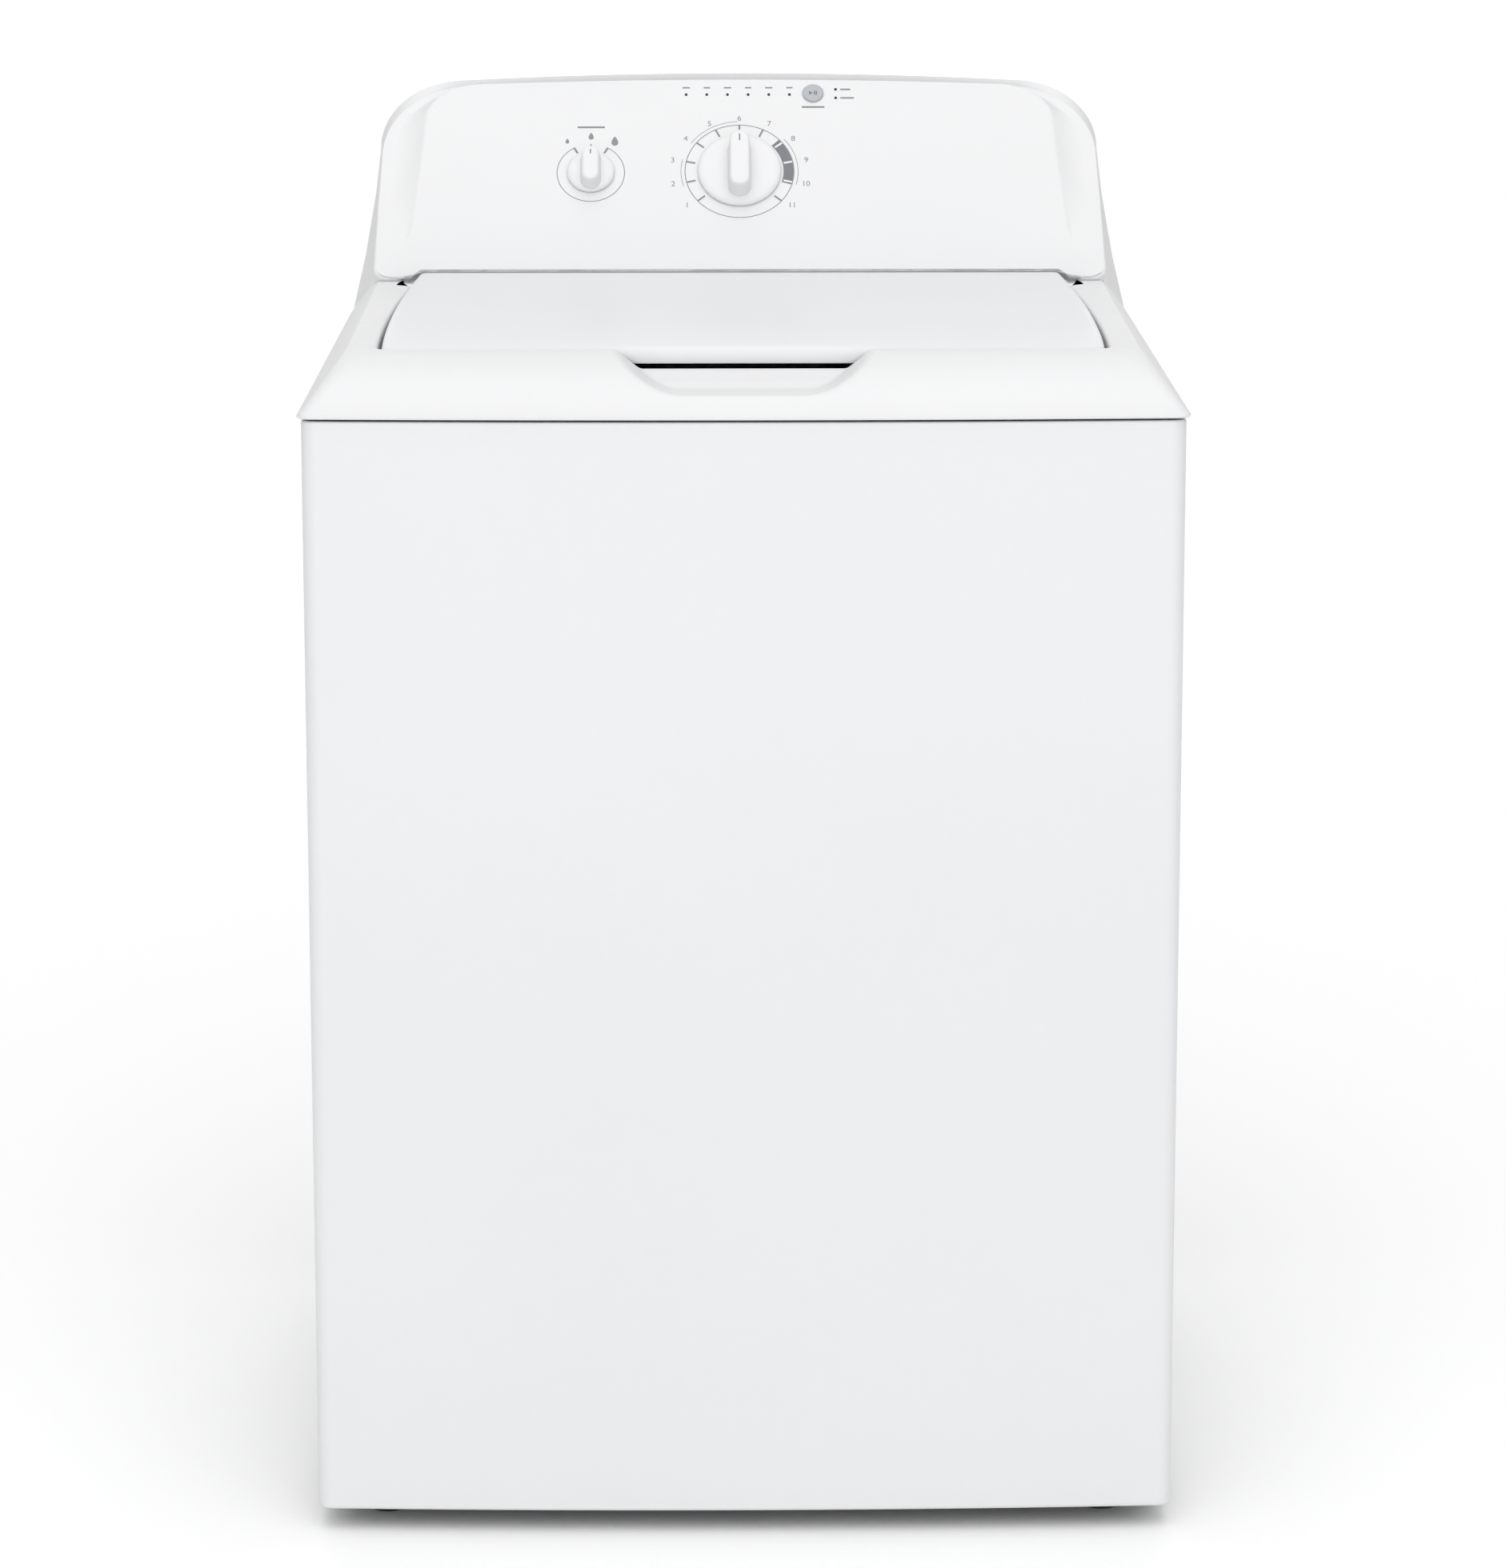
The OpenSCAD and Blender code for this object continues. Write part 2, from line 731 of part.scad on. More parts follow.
module drive_belt() {
    color("black") at_axis() translate([0, 0, 105]) linear_extrude(8) difference() {
        polygon(band(drive_r - 1, motor_r - 1, belt_span));
        polygon(band(drive_r - groove + 0.6, motor_r - groove + 0.6, belt_span));
    }
}

module grooved_wheel(r, z0) {
    translate([0, 0, z0]) rotate_extrude() polygon([
        [0, 0], [r, 0], [r, 4], [r - groove, 4.6], [r - groove, 13.4], [r, 14], [r, 18], [0, 18]
    ]);
}

module drive_pulley() {
    color("silver") at_axis() difference() {
        union() {
            grooved_wheel(drive_r, 100);
            translate([0, 0, 118]) cylinder(r = 8, h = 47);
        }
        for (a = [0:60:300]) rotate(a) translate([52, 0, 90]) cylinder(r = 17, h = 40);
    }
}

module motor_pulley() {
    color("silver") translate([belt_span, axis_y, 0]) union() {
        grooved_wheel(motor_r, 100);
        translate([0, 0, 118]) cylinder(r = 6, h = 58);
    }
}

module spin_bearings() {
    color("silver") at_axis() for (z = [248, 282]) ring(31, tube_r + play, z, z + 12);
}

module tub_seal() {
    color("black") at_axis() ring(31, tube_r + 0.5, 294.4, 300);
}

module clutch_collar() {
    color("gray") at_axis() difference() {
        union() {
            translate([0, 0, 124]) cylinder(r = 28, h = 10);
            translate([-76, -5, 126]) cube([60, 10, 5]);
        }
        translate([0, 0, 120]) cylinder(r = 12, h = 20);
    }
}

module mode_shifter() {
    color("ivory") at_axis() difference() {
        translate([-126, -30, 119]) cube([45.6, 56, 96]);
        translate([-100, -8, 121]) cube([40, 16, 18]);
    }
}

module drain_pump() {
    color("dimgray") translate([pump_x, pump_y, 0]) difference() {
        union() {
            translate([0, 0, 186]) cylinder(r = 42, h = 44);
            translate([0, 0, 124]) cylinder(r = 30, h = 63);
            translate([0, 0, 229]) cylinder(r = 13, h = 14);
            translate([-30, 0, 208]) rotate([-90, 0, 0]) cylinder(r = 12, h = 54);
            for (a = [45, 225]) rotate(a) translate([36, -6, 190]) cube([14, 12, 55.6]);
        }
        translate([0, 0, 192]) cylinder(r = 35, h = 32);
        translate([0, 0, 220]) cylinder(r = 9, h = 40);
        translate([-30, 4, 208]) rotate([-90, 0, 0]) cylinder(r = 8, h = 60);
        translate([0, 0, 150]) cylinder(r = 4 + play, h = 60);
    }
}

module pump_impeller() {
    color("white") translate([pump_x, pump_y, 0]) union() {
        translate([0, 0, 160]) cylinder(r = 4, h = 40);
        translate([0, 0, 196]) cylinder(r = 28, h = 3);
        for (a = [0:60:300]) rotate(a) translate([3, -1.2, 198]) cube([25, 2.4, 14]);
        translate([0, 0, 198]) cylinder(r = 8, h = 14);
    }
}

module sump_hose() {
    color("black") translate([pump_x, pump_y, 0]) ring(17, 13 + play, 231, 261.6);
}

// A tube swept along a route: each ring of points stands square to the route
function unit(v) = v / norm(v);
function tangent(p, i) = unit(p[min(i + 1, len(p) - 1)] - p[max(i - 1, 0)]);
function mid_point(p, i, t) = let (
    a = p[max(i - 1, 0)], b = p[i], c = p[i + 1], d = p[min(i + 2, len(p) - 1)]
) 0.5 * (2 * b + (c - a) * t + (2 * a - 5 * b + 4 * c - d) * t * t + (3 * b - a - 3 * c + d) * t * t * t);
function smooth(p, n) = concat(
    [for (i = [0:len(p) - 2], j = [0:n - 1]) mid_point(p, i, j / n)], [p[len(p) - 1]]
);

module hose(route, r, sides) {
    p = smooth(route, 3);
    side_way = [0.86, 0.31, 0.4];
    rings = [for (i = [0:len(p) - 1]) let (
        t = tangent(p, i), u = unit(cross(t, side_way)), w = cross(t, u)
    ) for (k = [0:sides - 1]) p[i] + r * (cos(360 * k / sides) * u + sin(360 * k / sides) * w)];
    walls = [for (i = [0:len(p) - 2], k = [0:sides - 1]) [
        i * sides + k, (i + 1) * sides + k, (i + 1) * sides + (k + 1) % sides, i * sides + (k + 1) % sides
    ]];
    ends = [[for (k = [0:sides - 1]) k], [for (k = [sides - 1:-1:0]) (len(p) - 1) * sides + k]];
    polyhedron(points = rings, faces = concat(walls, ends));
}

// Drain hose: from the pump's outlet back along the base, up the rear corner and over to the outlet
drain_route = [
    [-180, -95, 208], [-181, -60, 208], [-195, 30, 206], [-225, 120, 206], [-250, 190, 210],
    [-262, 232, 228], [-264, 252, 262], [-262, 258, 320], [-262, 258, 430], [-262, 258, 540],
    [-262, 256, 650], [-260, 255, 715], [-256, 256, 745], [-252, 264, 770], [-250, 279, 779.5], [-250, 294, 780]
];

module drain_hose() {
    color("gray") hose(drain_route, 12, 10);
}

// Pressure hose: from the tub's air chamber up the left side to the sensor behind the console face
pressure_route = [
    [-285, -12, 341], [-286, -12, 360], [-296, -6, 410], [-312, 20, 500], [-316, 70, 600],
    [-316, 140, 700], [-310, 205, 790], [-290, 245, 850], [-258, 268, 885], [-220, 284, 902],
    [-185, 288, 912], [-160, 279, 919], [-151, 264, 929], [-150, 251.9, 938.6]
];

module pressure_hose() {
    color("black") hose(pressure_route, 3, 8);
}

// ---- Basket and agitator ----

module basket() {
    hole_r = 4;
    color("silver") at_axis() difference() {
        union() {
            ring(basket_r + 1, basket_r, 306, 790);
            ring(basket_r + 1, 30, 306, 307.5);
        }
        for (z = [360:110:690], a = [0:45:135]) rotate(a + z) translate([0, 0, z]) rotate([90, 0, 0])
            translate([0, 0, -300]) cylinder(r = hole_r, h = 600);
    }
}

module balance_ring() {
    color("ivory") at_axis() rotate_extrude() polygon([
        [242, 796], [246, 790.4], [basket_r + 2, 790.4], [basket_r + 4, 796],
        [basket_r + 4, basket_top - 6], [basket_r - 2, basket_top], [248, basket_top], [242, basket_top - 6]
    ]);
}

module spin_tube() {
    color("silver") at_axis() difference() {
        union() {
            translate([0, 0, 214]) cylinder(r = tube_r, h = 92);
            translate([0, 0, 301.6]) cylinder(r = 60, h = 4.4);
            translate([0, 0, 305]) cylinder(r = 29, h = 8);
        }
        translate([0, 0, 200]) cylinder(r = tube_in_r, h = 140);
    }
}

module agitator_shaft() {
    color("silver") at_axis() union() {
        translate([0, 0, 190]) cylinder(r = shaft_r, h = 160);
        translate([0, 0, 170]) cylinder(r = 30, h = 20);
    }
}

module agitator() {
    fins = 4;
    color("lavender") at_axis() difference() {
        union() {
            rotate_extrude() polygon([
                [0, 314], [150, 314], [152, 318], [140, 330], [90, 348], [60, 380], [48, 430],
                [42, 560], [38, 700], [38, agitator_top - 20], [0, agitator_top - 20]
            ]);
            for (i = [0:fins - 1]) rotate(i * 360 / fins) rotate([90, 0, 0]) translate([0, 0, -3])
                linear_extrude(6) polygon([[20, 316], [196, 316], [190, 336], [140, 356], [96, 400],
                    [76, 480], [66, 600], [54, 680], [30, 700]]);
        }
        translate([0, 0, 300]) cylinder(r = 32, h = 46);
        translate([0, 0, 300]) cylinder(r = shaft_r + play, h = 50.4);
        translate([0, 0, 352]) cylinder(r = 30, h = 300);
    }
}

module agitator_cap() {
    color("slategray") at_axis() rotate_extrude() polygon([
        [0, agitator_top - 19.6], [40, agitator_top - 19.6], [40, agitator_top - 8], [34, agitator_top], [0, agitator_top]
    ]);
}

// ---- Lid ----

module lid_form(g, drop, low) {
    intersection() {
        translate([0, 0, low]) linear_extrude(60) polygon(lid_plan(g));
        across_x(400) polygon([
            [lid_front_y - 5, low - 1], [lid_front_y - 5, lid_top - drop - 5], [lid_front_y + 5, lid_top - drop],
            [lid_back_y + 5, lid_top + lid_rise - drop], [lid_back_y + 5, low - 1]
        ]);
    }
}

module lid_panel() {
    color("whitesmoke") difference() {
        lid_form(0, 0, lid_rim_z);
        lid_form(-sheet, sheet, lid_rim_z - 1);
        for (s = [-1, 1]) translate([s * 240, hinge_y, hinge_z]) rotate([0, s * 90, 0]) cylinder(r = pin_r + play, h = 60);
    }
}

module lid_liner() {
    color("white") difference() {
        translate([0, 0, lid_rim_z - 3 - edge_gap]) linear_extrude(3) polygon(lid_plan(-0.5));
        box([-400, hinge_y - 8, 900], [400, lid_back_y + 10, lid_rim_z + 1]);
        box([-finger_half, lid_front_y - 10, 900], [finger_half, finger_back_y, lid_rim_z + 1]);
    }
}

module lid_strike() {
    base_z = lid_rim_z - 3 - edge_gap;
    color("white") difference() {
        union() {
            box([lock_x - 14, lock_y - 18, base_z - 3], [lock_x + 14, lock_y + 16, base_z]);
            box([lock_x - 1.5, lock_y - 10, bolt_z - 10], [lock_x + 1.5, lock_y + 10, base_z - 2]);
        }
        translate([lock_x - 20, lock_y, bolt_z]) rotate([0, 90, 0]) cylinder(r = 5.5, h = 40);
    }
}

module lid_hinge_pins() {
    color("silver") for (s = [-1, 1]) translate([s * 262, hinge_y, hinge_z]) rotate([0, s * 90, 0])
        cylinder(r = pin_r, h = 29);
}

module lid_bumpers() {
    base_z = lid_rim_z - 3 - edge_gap;
    color("gray") for (s = [-1, 1]) {
        translate([s * 265, -256, ledge_z + 0.3]) cylinder(r = 6, h = base_z - ledge_z - 0.3);
        translate([s * 255, 120, pan_z + pan_t + 0.3]) cylinder(r = 6, h = base_z - pan_z - pan_t - 0.3);
    }
}

module cabinet_screws() {
    color("silver") {
        for (x = [-330, 330], z = [60, 300, 540, 860]) translate([x, rear_y + edge_gap, z]) rotate([-90, 0, 0])
            cylinder(r = 5, h = 3);
        for (x = [-300, -100, 100, 300]) translate([x, deck_rear_y, 965]) rotate([-90, 0, 0]) union() {
            cylinder(r = 4.5, h = 2.5);
            translate([0, 0, -1.5]) cylinder(r = 2.2, h = 3);
        }
    }
}

front_panel();
cabinet_side_left();
cabinet_side_right();
rear_panel();
base_frame();
top_cover();
console_front();
console_body();
console_rear_cover();
control_board();
rotary_encoders();
status_leds();
pressure_sensor();
inlet_valve();
fill_spout();
lid_lock();
lock_bolt();
power_cord_gland();
drain_outlet();
rod_sockets();
suspension_rods();
suspension_springs();
cabinet_screws();
foot_front_left();
foot_front_right();
foot_rear_left();
foot_rear_right();
lid_panel();
lid_liner();
lid_strike();
lid_hinge_pins();
lid_bumpers();
cycle_knob();
cycle_knob_shaft();
load_knob();
load_knob_shaft();
start_button();
outer_tub();
tub_cover();
gear_case();
drive_motor();
motor_bracket();
drive_belt();
spin_bearings();
tub_seal();
drain_pump();
sump_hose();
drain_hose();
pressure_hose();
pump_impeller();
motor_pulley();
drive_pulley();
basket();
balance_ring();
spin_tube();
agitator();
agitator_cap();
agitator_shaft();
clutch_collar();
mode_shifter();
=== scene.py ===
import json
from math import copysign, cos, dist, hypot, pi, radians, sin, sqrt

import bmesh
import bpy
from mathutils import Matrix, Vector


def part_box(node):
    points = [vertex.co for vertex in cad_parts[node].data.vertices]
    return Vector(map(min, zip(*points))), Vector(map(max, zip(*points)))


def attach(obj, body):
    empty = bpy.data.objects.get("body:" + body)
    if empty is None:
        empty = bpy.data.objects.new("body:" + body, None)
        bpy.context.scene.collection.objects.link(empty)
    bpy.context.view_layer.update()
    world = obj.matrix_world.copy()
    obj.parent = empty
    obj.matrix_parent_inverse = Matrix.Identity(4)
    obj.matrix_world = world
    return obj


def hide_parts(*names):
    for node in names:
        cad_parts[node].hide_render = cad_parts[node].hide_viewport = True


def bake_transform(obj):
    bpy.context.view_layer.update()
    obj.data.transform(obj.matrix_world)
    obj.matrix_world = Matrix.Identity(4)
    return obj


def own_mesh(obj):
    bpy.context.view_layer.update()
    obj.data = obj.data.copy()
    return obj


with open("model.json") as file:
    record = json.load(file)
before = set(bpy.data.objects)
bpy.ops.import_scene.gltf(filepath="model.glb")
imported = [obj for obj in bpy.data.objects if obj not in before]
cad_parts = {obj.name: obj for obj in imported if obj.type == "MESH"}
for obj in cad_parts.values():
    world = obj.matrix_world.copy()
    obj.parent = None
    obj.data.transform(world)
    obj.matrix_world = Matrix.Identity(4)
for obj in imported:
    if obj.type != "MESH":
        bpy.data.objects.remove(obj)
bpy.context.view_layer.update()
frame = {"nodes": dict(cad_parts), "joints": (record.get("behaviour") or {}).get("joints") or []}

MM = 0.001
JOINTS = {j["name"]: j for j in frame["joints"]}


def mm_box(node):
    """A node's lowest and highest corners in millimetres."""
    low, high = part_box(node)
    return Vector(low) / MM, Vector(high) / MM


# ---- frame dimensions, in millimetres
panel_low, panel_high = mm_box("front_panel")
deck_low, deck_high = mm_box("top_cover")
lid_low, lid_high = mm_box("lid_panel")
cover_low, cover_high = mm_box("console_rear_cover")
basket_low, basket_high = mm_box("basket")

# Cabinet: BOW is how far the middle of its front stands out
CAB_HALF = panel_high.x
CAB_TOP = panel_high.z
CAB_BOTTOM = panel_low.z
BOW = 8
FRONT_Y = panel_low.y + BOW
AXIS_Y = -12

# Deck: the rim is its flat top round the lid, and the fascia is the curve down to the seam at the front
SEAM_TOP = CAB_TOP + 1.9
DECK_Z = CAB_TOP + 4
DECK_HALF = deck_high.x
DECK_TOP = deck_high.z
DECK_FRONT = deck_low.y + BOW
DECK_REAR = deck_high.y
RIM_FRONT, RIM_BACK = 310, 313
FASCIA_D = 60
DECK_WALL = 3

# Recess in the deck under the lid
RECESS_GAP = 3
SWING_ROOM = 4
PAN_Z = 918
LEDGE_Z = 931

# Lid
LID_FRONT, LID_BACK = lid_low.y, lid_high.y
LID_TOP = 950
LID_RISE = lid_high.z - LID_TOP
LID_RIM = lid_low.z
LID_FRONT_HALF, LID_BACK_HALF, LID_BULGE = 284, 277, 5.5

# Console
TOTAL_H = cover_high.z + 0.5
REAR_Y = cover_high.y

# ---- the console face's own axes
cycle_joint = JOINTS["cycle_knob_turn"]
load_joint = JOINTS["load_knob_turn"]
NORMAL = Vector(cycle_joint["axis"]).normalized()
UP_SLOPE = Vector((0, NORMAL.z, -NORMAL.y))
CYCLE_V, LOAD_V = 97.5, 96
FACE_ORIGIN = Vector(cycle_joint["pos_m"]) / MM - UP_SLOPE * CYCLE_V
LOAD_U = load_joint["pos_m"][0] / MM
FACE_LEN = 195
START_AT = (65, 178)


def on_face(u, v, h=0.0):
    """A point of the console face, across and up the slope and off it, in millimetres."""
    return FACE_ORIGIN + Vector((u, 0, 0)) + UP_SLOPE * v + NORMAL * h


# ---- materials
def add_object(name, data):
    """A new object in the scene."""
    obj = bpy.data.objects.new(name, data)
    bpy.context.scene.collection.objects.link(obj)
    return obj


def put(node, **values):
    """Sets a node's inputs, each named in words joined by underscores."""
    for key, value in values.items():
        node.inputs[key.replace("_", " ")].default_value = value


def new_material(name, color, rough, metallic=0.0, coat=0.0, ior=1.5):
    """A Principled material, with its node tree and its shader."""
    mat = bpy.data.materials.new(name)
    mat.use_nodes = True
    shader = mat.node_tree.nodes["Principled BSDF"]
    put(shader, Base_Color=(*color, 1), Roughness=rough, Metallic=metallic, IOR=ior)
    put(shader, Coat_Weight=coat, Coat_Roughness=0.06)
    mat.diffuse_color = (*color, 1)
    return mat, mat.node_tree, shader


def noise(tree, scale, detail=3.0, stretch=(1, 1, 1)):
    """Noise in object space at a number of cells to the metre."""
    coord = tree.nodes.new("ShaderNodeTexCoord")
    mapping = tree.nodes.new("ShaderNodeMapping")
    put(mapping, Scale=stretch)
    tex = tree.nodes.new("ShaderNodeTexNoise")
    put(tex, Scale=scale, Detail=detail)
    tree.links.new(coord.outputs["Object"], mapping.inputs["Vector"])
    tree.links.new(mapping.outputs["Vector"], tex.inputs["Vector"])
    return tex.outputs["Fac"]


def roughened(tree, shader, value, low, high):
    """Drives the roughness between low and high."""
    node = tree.nodes.new("ShaderNodeMapRange")
    put(node, From_Min=0.3, From_Max=0.7, To_Min=low, To_Max=high)
    tree.links.new(value, node.inputs["Value"])
    tree.links.new(node.outputs["Result"], shader.inputs["Roughness"])


def bumped(tree, shader, value, strength, distance):
    """Drives the shader's normal with a bump from a value."""
    bump = tree.nodes.new("ShaderNodeBump")
    put(bump, Strength=strength, Distance=distance)
    tree.links.new(value, bump.inputs["Height"])
    tree.links.new(bump.outputs["Normal"], shader.inputs["Normal"])


def tinted(tree, shader, value, dark, light):
    """Drives the base colour between two colours."""
    ramp = tree.nodes.new("ShaderNodeValToRGB")
    ramp.color_ramp.elements[0].position = 0.3
    ramp.color_ramp.elements[0].color = (*dark, 1)
    ramp.color_ramp.elements[1].position = 0.7
    ramp.color_ramp.elements[1].color = (*light, 1)
    tree.links.new(value, ramp.inputs["Fac"])
    tree.links.new(ramp.outputs["Color"], shader.inputs["Base Color"])


def shade(color, k):
    """A colour made darker or lighter by a factor."""
    return tuple(c * k for c in color)


def enamel(name, color):
    """Baked enamel on steel: gloss, with a faint orange peel and a very slow drift of tone."""
    mat, tree, shader = new_material(name, color, 0.3)
    tinted(tree, shader, noise(tree, 3.0), shade(color, 0.985), color)
    roughened(tree, shader, noise(tree, 8, 2), 0.29, 0.33)
    bumped(tree, shader, noise(tree, 320, 2), 0.02, 0.00004)
    return mat


def moulded(name, color, rough=0.3, grain=0.04, coat=0.15, gloss=0.5):
    """Moulded plastic: satin to gloss, with fine mould texture."""
    mat, tree, shader = new_material(name, color, rough, coat=coat, ior=1.49)
    put(shader, Specular_IOR_Level=gloss)
    tinted(tree, shader, noise(tree, 5.0), shade(color, 0.985), color)
    roughened(tree, shader, noise(tree, 90, 4), rough - 0.05, rough + 0.06)
    bumped(tree, shader, noise(tree, 700, 2), grain, 0.00004)
    return mat


def metal(name, color, rough, stretch=(1, 1, 40), bump=0.15):
    """Plated, brushed or rolled metal with streaks along one way."""
    mat, tree, shader = new_material(name, color, rough, metallic=1.0)
    streaks = noise(tree, 40, 6, stretch)
    tinted(tree, shader, streaks, shade(color, 0.86), color)
    roughened(tree, shader, streaks, rough - 0.07, rough + 0.1)
    bumped(tree, shader, streaks, bump, 0.0003)
    return mat


def spangled(name, color):
    """Galvanised sheet with its crystal spangle."""
    mat, tree, shader = new_material(name, color, 0.45, metallic=0.85)
    coord = tree.nodes.new("ShaderNodeTexCoord")
    cells = tree.nodes.new("ShaderNodeTexVoronoi")
    put(cells, Scale=120)
    tree.links.new(coord.outputs["Object"], cells.inputs["Vector"])
    tinted(tree, shader, cells.outputs["Color"], shade(color, 0.9), shade(color, 1.04))
    roughened(tree, shader, cells.outputs["Color"], 0.36, 0.55)
    bumped(tree, shader, noise(tree, 200, 3), 0.1, 0.0003)
    return mat


def rubbery(name, color):
    """Moulded rubber: matte, dusty at a fine scale."""
    mat, tree, shader = new_material(name, color, 0.7)
    tinted(tree, shader, noise(tree, 25, 5), color, shade(color, 1.5))
    roughened(tree, shader, noise(tree, 120, 5), 0.62, 0.82)
    bumped(tree, shader, noise(tree, 600, 4), 0.2, 0.0005)
    return mat


MATS = {
    "enamel": enamel("white_enamel", (0.706, 0.712, 0.721)),
    "lid": enamel("lid_enamel", (0.725, 0.732, 0.745)),
    "plastic": moulded("white_plastic", (0.748, 0.75, 0.757), 0.45, 0.03, 0.0, 0.2),
    "knob": moulded("knob_plastic", (0.76, 0.762, 0.769), 0.42, 0.01, 0.0, 0.25),
    "silver": moulded("button_silver", (0.40, 0.42, 0.44), 0.32, 0.06),
    "grey": moulded("grey_plastic", (0.19, 0.20, 0.205), 0.5, 0.12, 0.0),
    "black": moulded("black_plastic", (0.02, 0.02, 0.022), 0.45, 0.12, 0.0),
    "tub": moulded("tub_plastic", (0.62, 0.63, 0.64), 0.5, 0.15, 0.0),
    "agitator": moulded("agitator_plastic", (0.55, 0.59, 0.68), 0.33, 0.06),
    "cap": moulded("cap_plastic", (0.28, 0.33, 0.42), 0.35, 0.06),
    "stainless": metal("stainless", (0.62, 0.63, 0.64), 0.26, (1, 1, 30), 0.08),
    "zinc": metal("zinc_steel", (0.55, 0.56, 0.57), 0.36, (8, 8, 1), 0.1),
    "cast": metal("cast_alloy", (0.56, 0.57, 0.58), 0.5, (2, 2, 2), 0.4),
    "sheet": spangled("galvanised", (0.52, 0.53, 0.54)),
    "rubber": rubbery("rubber_black", (0.018, 0.018, 0.019)),
    "rubber_grey": rubbery("rubber_grey", (0.10, 0.105, 0.11)),
    "board": moulded("board_green", (0.015, 0.09, 0.035), 0.4, 0.3, 0.0),
    "led": moulded("led_black", (0.004, 0.004, 0.005), 0.5, 0.02, 0.0),
    "ink": moulded("print_grey", (0.23, 0.235, 0.245), 0.45, 0.05, 0.0),
    "ink_light": moulded("print_light_grey", (0.52, 0.53, 0.55), 0.45, 0.05, 0.0),
    "ink_dark": moulded("print_dark_grey", (0.17, 0.175, 0.19), 0.45, 0.05, 0.0),
}

CAD_MATS = {
    "enamel": "cabinet_side_left cabinet_side_right",
    "sheet": "rear_panel base_frame motor_bracket",
    "board": "control_board",
    "black": "rotary_encoders pressure_sensor power_cord_gland",
    "led": "status_leds",
    "tub": "inlet_valve outer_tub tub_cover balance_ring mode_shifter",
    "plastic": "fill_spout lid_liner lid_strike pump_impeller",
    "grey": "lid_lock drain_outlet rod_sockets drive_motor drain_pump",
    "zinc":
        "lock_bolt suspension_rods cabinet_screws lid_hinge_pins cycle_knob_shaft load_knob_shaft "
        "spin_bearings spin_tube agitator_shaft clutch_collar",
    "rubber":
        "foot_front_left foot_front_right foot_rear_left foot_rear_right drive_belt tub_seal "
        "sump_hose pressure_hose",
    "rubber_grey": "lid_bumpers",
    "cast": "gear_case motor_pulley drive_pulley",
}
for mat_name, node_names in CAD_MATS.items():
    for node_name in node_names.split():
        for mat_slot in frame["nodes"][node_name].material_slots:
            mat_slot.material = MATS[mat_name]


# ---- mesh helpers
def make_piece(name, verts, faces, mat, slot, body, nodes=(), sharp=35, fix_normals=True):
    """A mesh piece from millimetre points, smooth but for its sharp edges, riding on a body."""
    mesh = bpy.data.meshes.new(name)
    mesh.from_pydata([tuple(c * MM for c in v) for v in verts], [], faces)
    bm = bmesh.new()
    bm.from_mesh(mesh)
    bmesh.ops.remove_doubles(bm, verts=bm.verts, dist=0.00001)
    if fix_normals:
        bmesh.ops.recalc_face_normals(bm, faces=bm.faces)
    for face in bm.faces:
        face.smooth = True
    limit = radians(sharp)
    for edge in bm.edges:
        edge.smooth = not (len(edge.link_faces) == 2 and edge.calc_face_angle(0) > limit)
    bm.to_mesh(mesh)
    bm.free()
    obj = add_object(name, mesh)
    mesh.materials.append(MATS[mat])
    if body:
        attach(obj, body)
    if nodes:
        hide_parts(*nodes)
    return obj


class Shape:
    """Points and faces gathered from several lofts."""

    def __init__(self):
        self.verts, self.faces = [], []

    def loft(self, loops, closed=True, ring=False, cap_first=False, cap_last=False):
        """Faces between successive loops; ring joins the last loop to the first."""
        start, n = len(self.verts), len(loops[0])
        for loop in loops:
            self.verts.extend(tuple(p) for p in loop)
        for i in range(len(loops) if ring else len(loops) - 1):
            a, b = start + i * n, start + (i + 1) % len(loops) * n
            for k in range(n if closed else n - 1):
                m = (k + 1) % n
                self.faces.append((a + k, a + m, b + m, b + k))
        if cap_first:
            self.faces.append(tuple(range(start, start + n)))
        if cap_last:
            last = start + (len(loops) - 1) * n
            self.faces.append(tuple(range(last, last + n)))
        if ring and not closed:
            count = len(loops)
            self.faces.append(tuple(start + i * n for i in range(count)))
            self.faces.append(tuple(start + i * n + n - 1 for i in range(count)))
        return self

    def piece(self, name, *details, **options):
        """The mesh piece of all the points and faces gathered."""
        return make_piece(name, self.verts, self.faces, *details, **options)


def mix(a, b, t):
    return a + (b - a) * t


def mix_loops(a, b, t):
    return [Vector(p).lerp(Vector(q), t) for p, q in zip(a, b)]


def smoothstep(t):
    t = max(0.0, min(1.0, t))
    return t * t * (3 - 2 * t)


def arc_steps(n):
    """Angles over a quarter turn, ends included."""
    return [pi / 2 * i / n for i in range(n + 1)]


def turn_steps(n):
    """Angles over a whole turn, without the last, which is the first again."""
    return [2 * pi * i / n for i in range(n)]


def clock(degrees):
    """Shares across and up of a direction given clockwise from straight up."""
    return sin(radians(degrees)), cos(radians(degrees))


def lathe(profile, centre, n=96, axes=None):
    """Loops of an outline of (radius, height) turned about a line."""
    a, b, c = axes or (Vector((1, 0, 0)), Vector((0, 1, 0)), Vector((0, 0, 1)))
    return [
        [centre + a * (r * cos(t)) + b * (r * sin(t)) + c * h for t in turn_steps(n)]
        for r, h in profile
    ]


FACE_AXES = (Vector((1, 0, 0)), UP_SLOPE, NORMAL)


